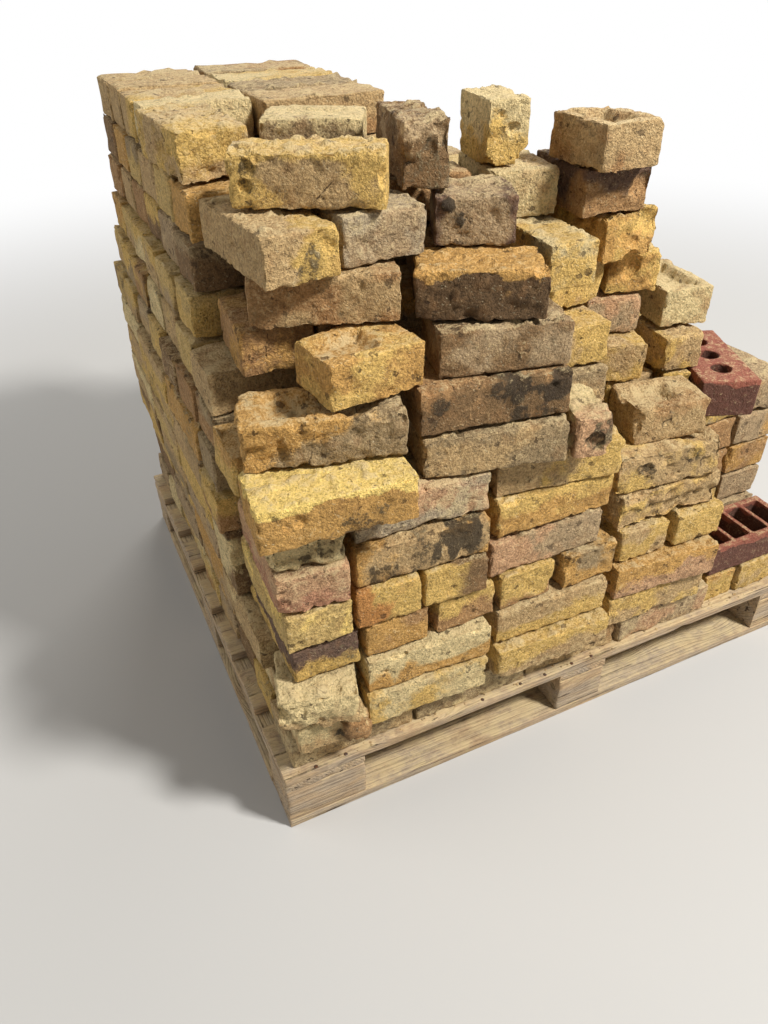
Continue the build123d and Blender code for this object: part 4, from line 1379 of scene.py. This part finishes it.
def lay_floor(colour):
    """The floor, which fades to the white of the background far from the object."""
    far = FLOOR_REACH
    floor = sheet_of("floor", [(-far, -far, 0), (far, -far, 0), (far, far, 0), (-far, far, 0)])
    material = bpy.data.materials.new("floor_paint")
    floor.data.materials.append(material)
    nodes = emptied(material)
    paint = nodes.out("ShaderNodeBsdfPrincipled", {
        "Base Color": opaque(colour), "Roughness": 0.9, "Specular IOR Level": 0.1})
    haze = nodes.out("ShaderNodeEmission", {"Color": WHITE, "Strength": 1.0})
    place = nodes.out("ShaderNodeTexCoord", output="Object")
    away = nodes.out("ShaderNodeVectorMath", (place,), "Value", operation="LENGTH")
    faded = nodes.ramp(away, HAZE_FROM, HAZE_TO) * seen_rays(nodes)
    nodes.add("ShaderNodeOutputMaterial", {"Surface": nodes.out("ShaderNodeMixShader", (faded, paint, haze))})


def light_world(scene, fill):
    """Light from all round, and a white background for the camera."""
    scene.world = bpy.data.worlds.new("studio")
    nodes = emptied(scene.world)
    light = nodes.out("ShaderNodeBackground", {"Color": WHITE, "Strength": fill})
    white = nodes.out("ShaderNodeBackground", {"Color": WHITE, "Strength": 1.0})
    both = nodes.out("ShaderNodeMixShader", (seen_rays(nodes), light, white))
    nodes.add("ShaderNodeOutputWorld", {"Surface": both})


def hang_lamps(key):
    """The lamps, all turned to the object."""
    for name, place, size, share in LAMPS:
        lamp = bpy.data.lights.new(name, "AREA")
        lamp.size = size
        lamp.energy = key * share
        obj = placed(name, lamp)
        obj.location = place
        obj.rotation_euler = (LAMP_TARGET - Vector(place)).to_track_quat("-Z", "Y").to_euler()


def set_camera(scene, settings):
    """The camera, at the place and with the lens of the photo."""
    data = bpy.data.cameras.new("camera")
    data.lens = settings.lens
    data.sensor_width = 36.0
    data.dof.use_dof = False
    sin, cos = math.sin, math.cos
    heading, dip, roll = settings.heading, settings.dip, settings.roll
    ahead = Vector((sin(heading) * cos(dip), cos(heading) * cos(dip), -sin(dip)))
    side = Vector((cos(heading), -sin(heading), 0))
    over = side.cross(ahead)
    right = side * cos(roll) + over * sin(roll)
    up = over * cos(roll) - side * sin(roll)
    turn = Matrix((right, up, -ahead)).transposed()
    scene.camera = placed("camera", data)
    scene.camera.matrix_world = Matrix.Translation(settings.camera_place) @ turn.to_4x4()


class BRICKS_OT_set_stage(bpy.types.Operator):
    """Puts down the floor and sets up the camera and lamps"""
    bl_idname = "bricks.set_stage"
    bl_label = "Set Stage"

    def execute(self, context):
        settings = context.scene.stage
        lay_floor(settings.floor)
        light_world(context.scene, settings.fill)
        hang_lamps(settings.key)
        set_camera(context.scene, settings)
        context.scene.view_settings.view_transform = "Standard"
        return {"FINISHED"}


class BRICKS_PT_panel(bpy.types.Panel):
    """Sidebar panel with the settings and the pieces to make"""
    bl_idname = "BRICKS_PT_panel"
    bl_label = "Pallet of Bricks"
    bl_space_type = "VIEW_3D"
    bl_region_type = "UI"
    bl_category = "Bricks"

    def draw(self, context):
        for group in (context.scene.bricks, context.scene.pallet, context.scene.stage):
            box = self.layout.box()
            for label in group.__annotations__:
                box.prop(group, label)
        for operator in OPERATORS:
            self.layout.operator(operator.bl_idname)


OPERATORS = (
    BRICKS_OT_set_stage,
    BRICKS_OT_weather_pallet,
    BRICKS_OT_drive_nails,
    BRICKS_OT_lay_courses,
    BRICKS_OT_set_bricks_on_edge,
    BRICKS_OT_fill_middle,
    BRICKS_OT_lay_perforated_brick,
    BRICKS_OT_lay_hollow_brick,
    BRICKS_OT_scatter_crumbs,
)
CLASSES = (BrickSettings, PalletSettings, StageSettings, *OPERATORS, BRICKS_PT_panel)


def register():
    for kind in CLASSES:
        bpy.utils.register_class(kind)
    bpy.types.Scene.bricks = bpy.props.PointerProperty(type=BrickSettings)
    bpy.types.Scene.pallet = bpy.props.PointerProperty(type=PalletSettings)
    bpy.types.Scene.stage = bpy.props.PointerProperty(type=StageSettings)


def unregister():
    for label in ("bricks", "pallet", "stage"):
        delattr(bpy.types.Scene, label)
    for kind in reversed(CLASSES):
        bpy.utils.unregister_class(kind)


def main():
    register()
    for operator in OPERATORS:
        family, name = operator.bl_idname.split(".")
        getattr(getattr(bpy.ops, family), name)()
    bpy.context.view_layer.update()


if __name__ == "__main__":
    main()
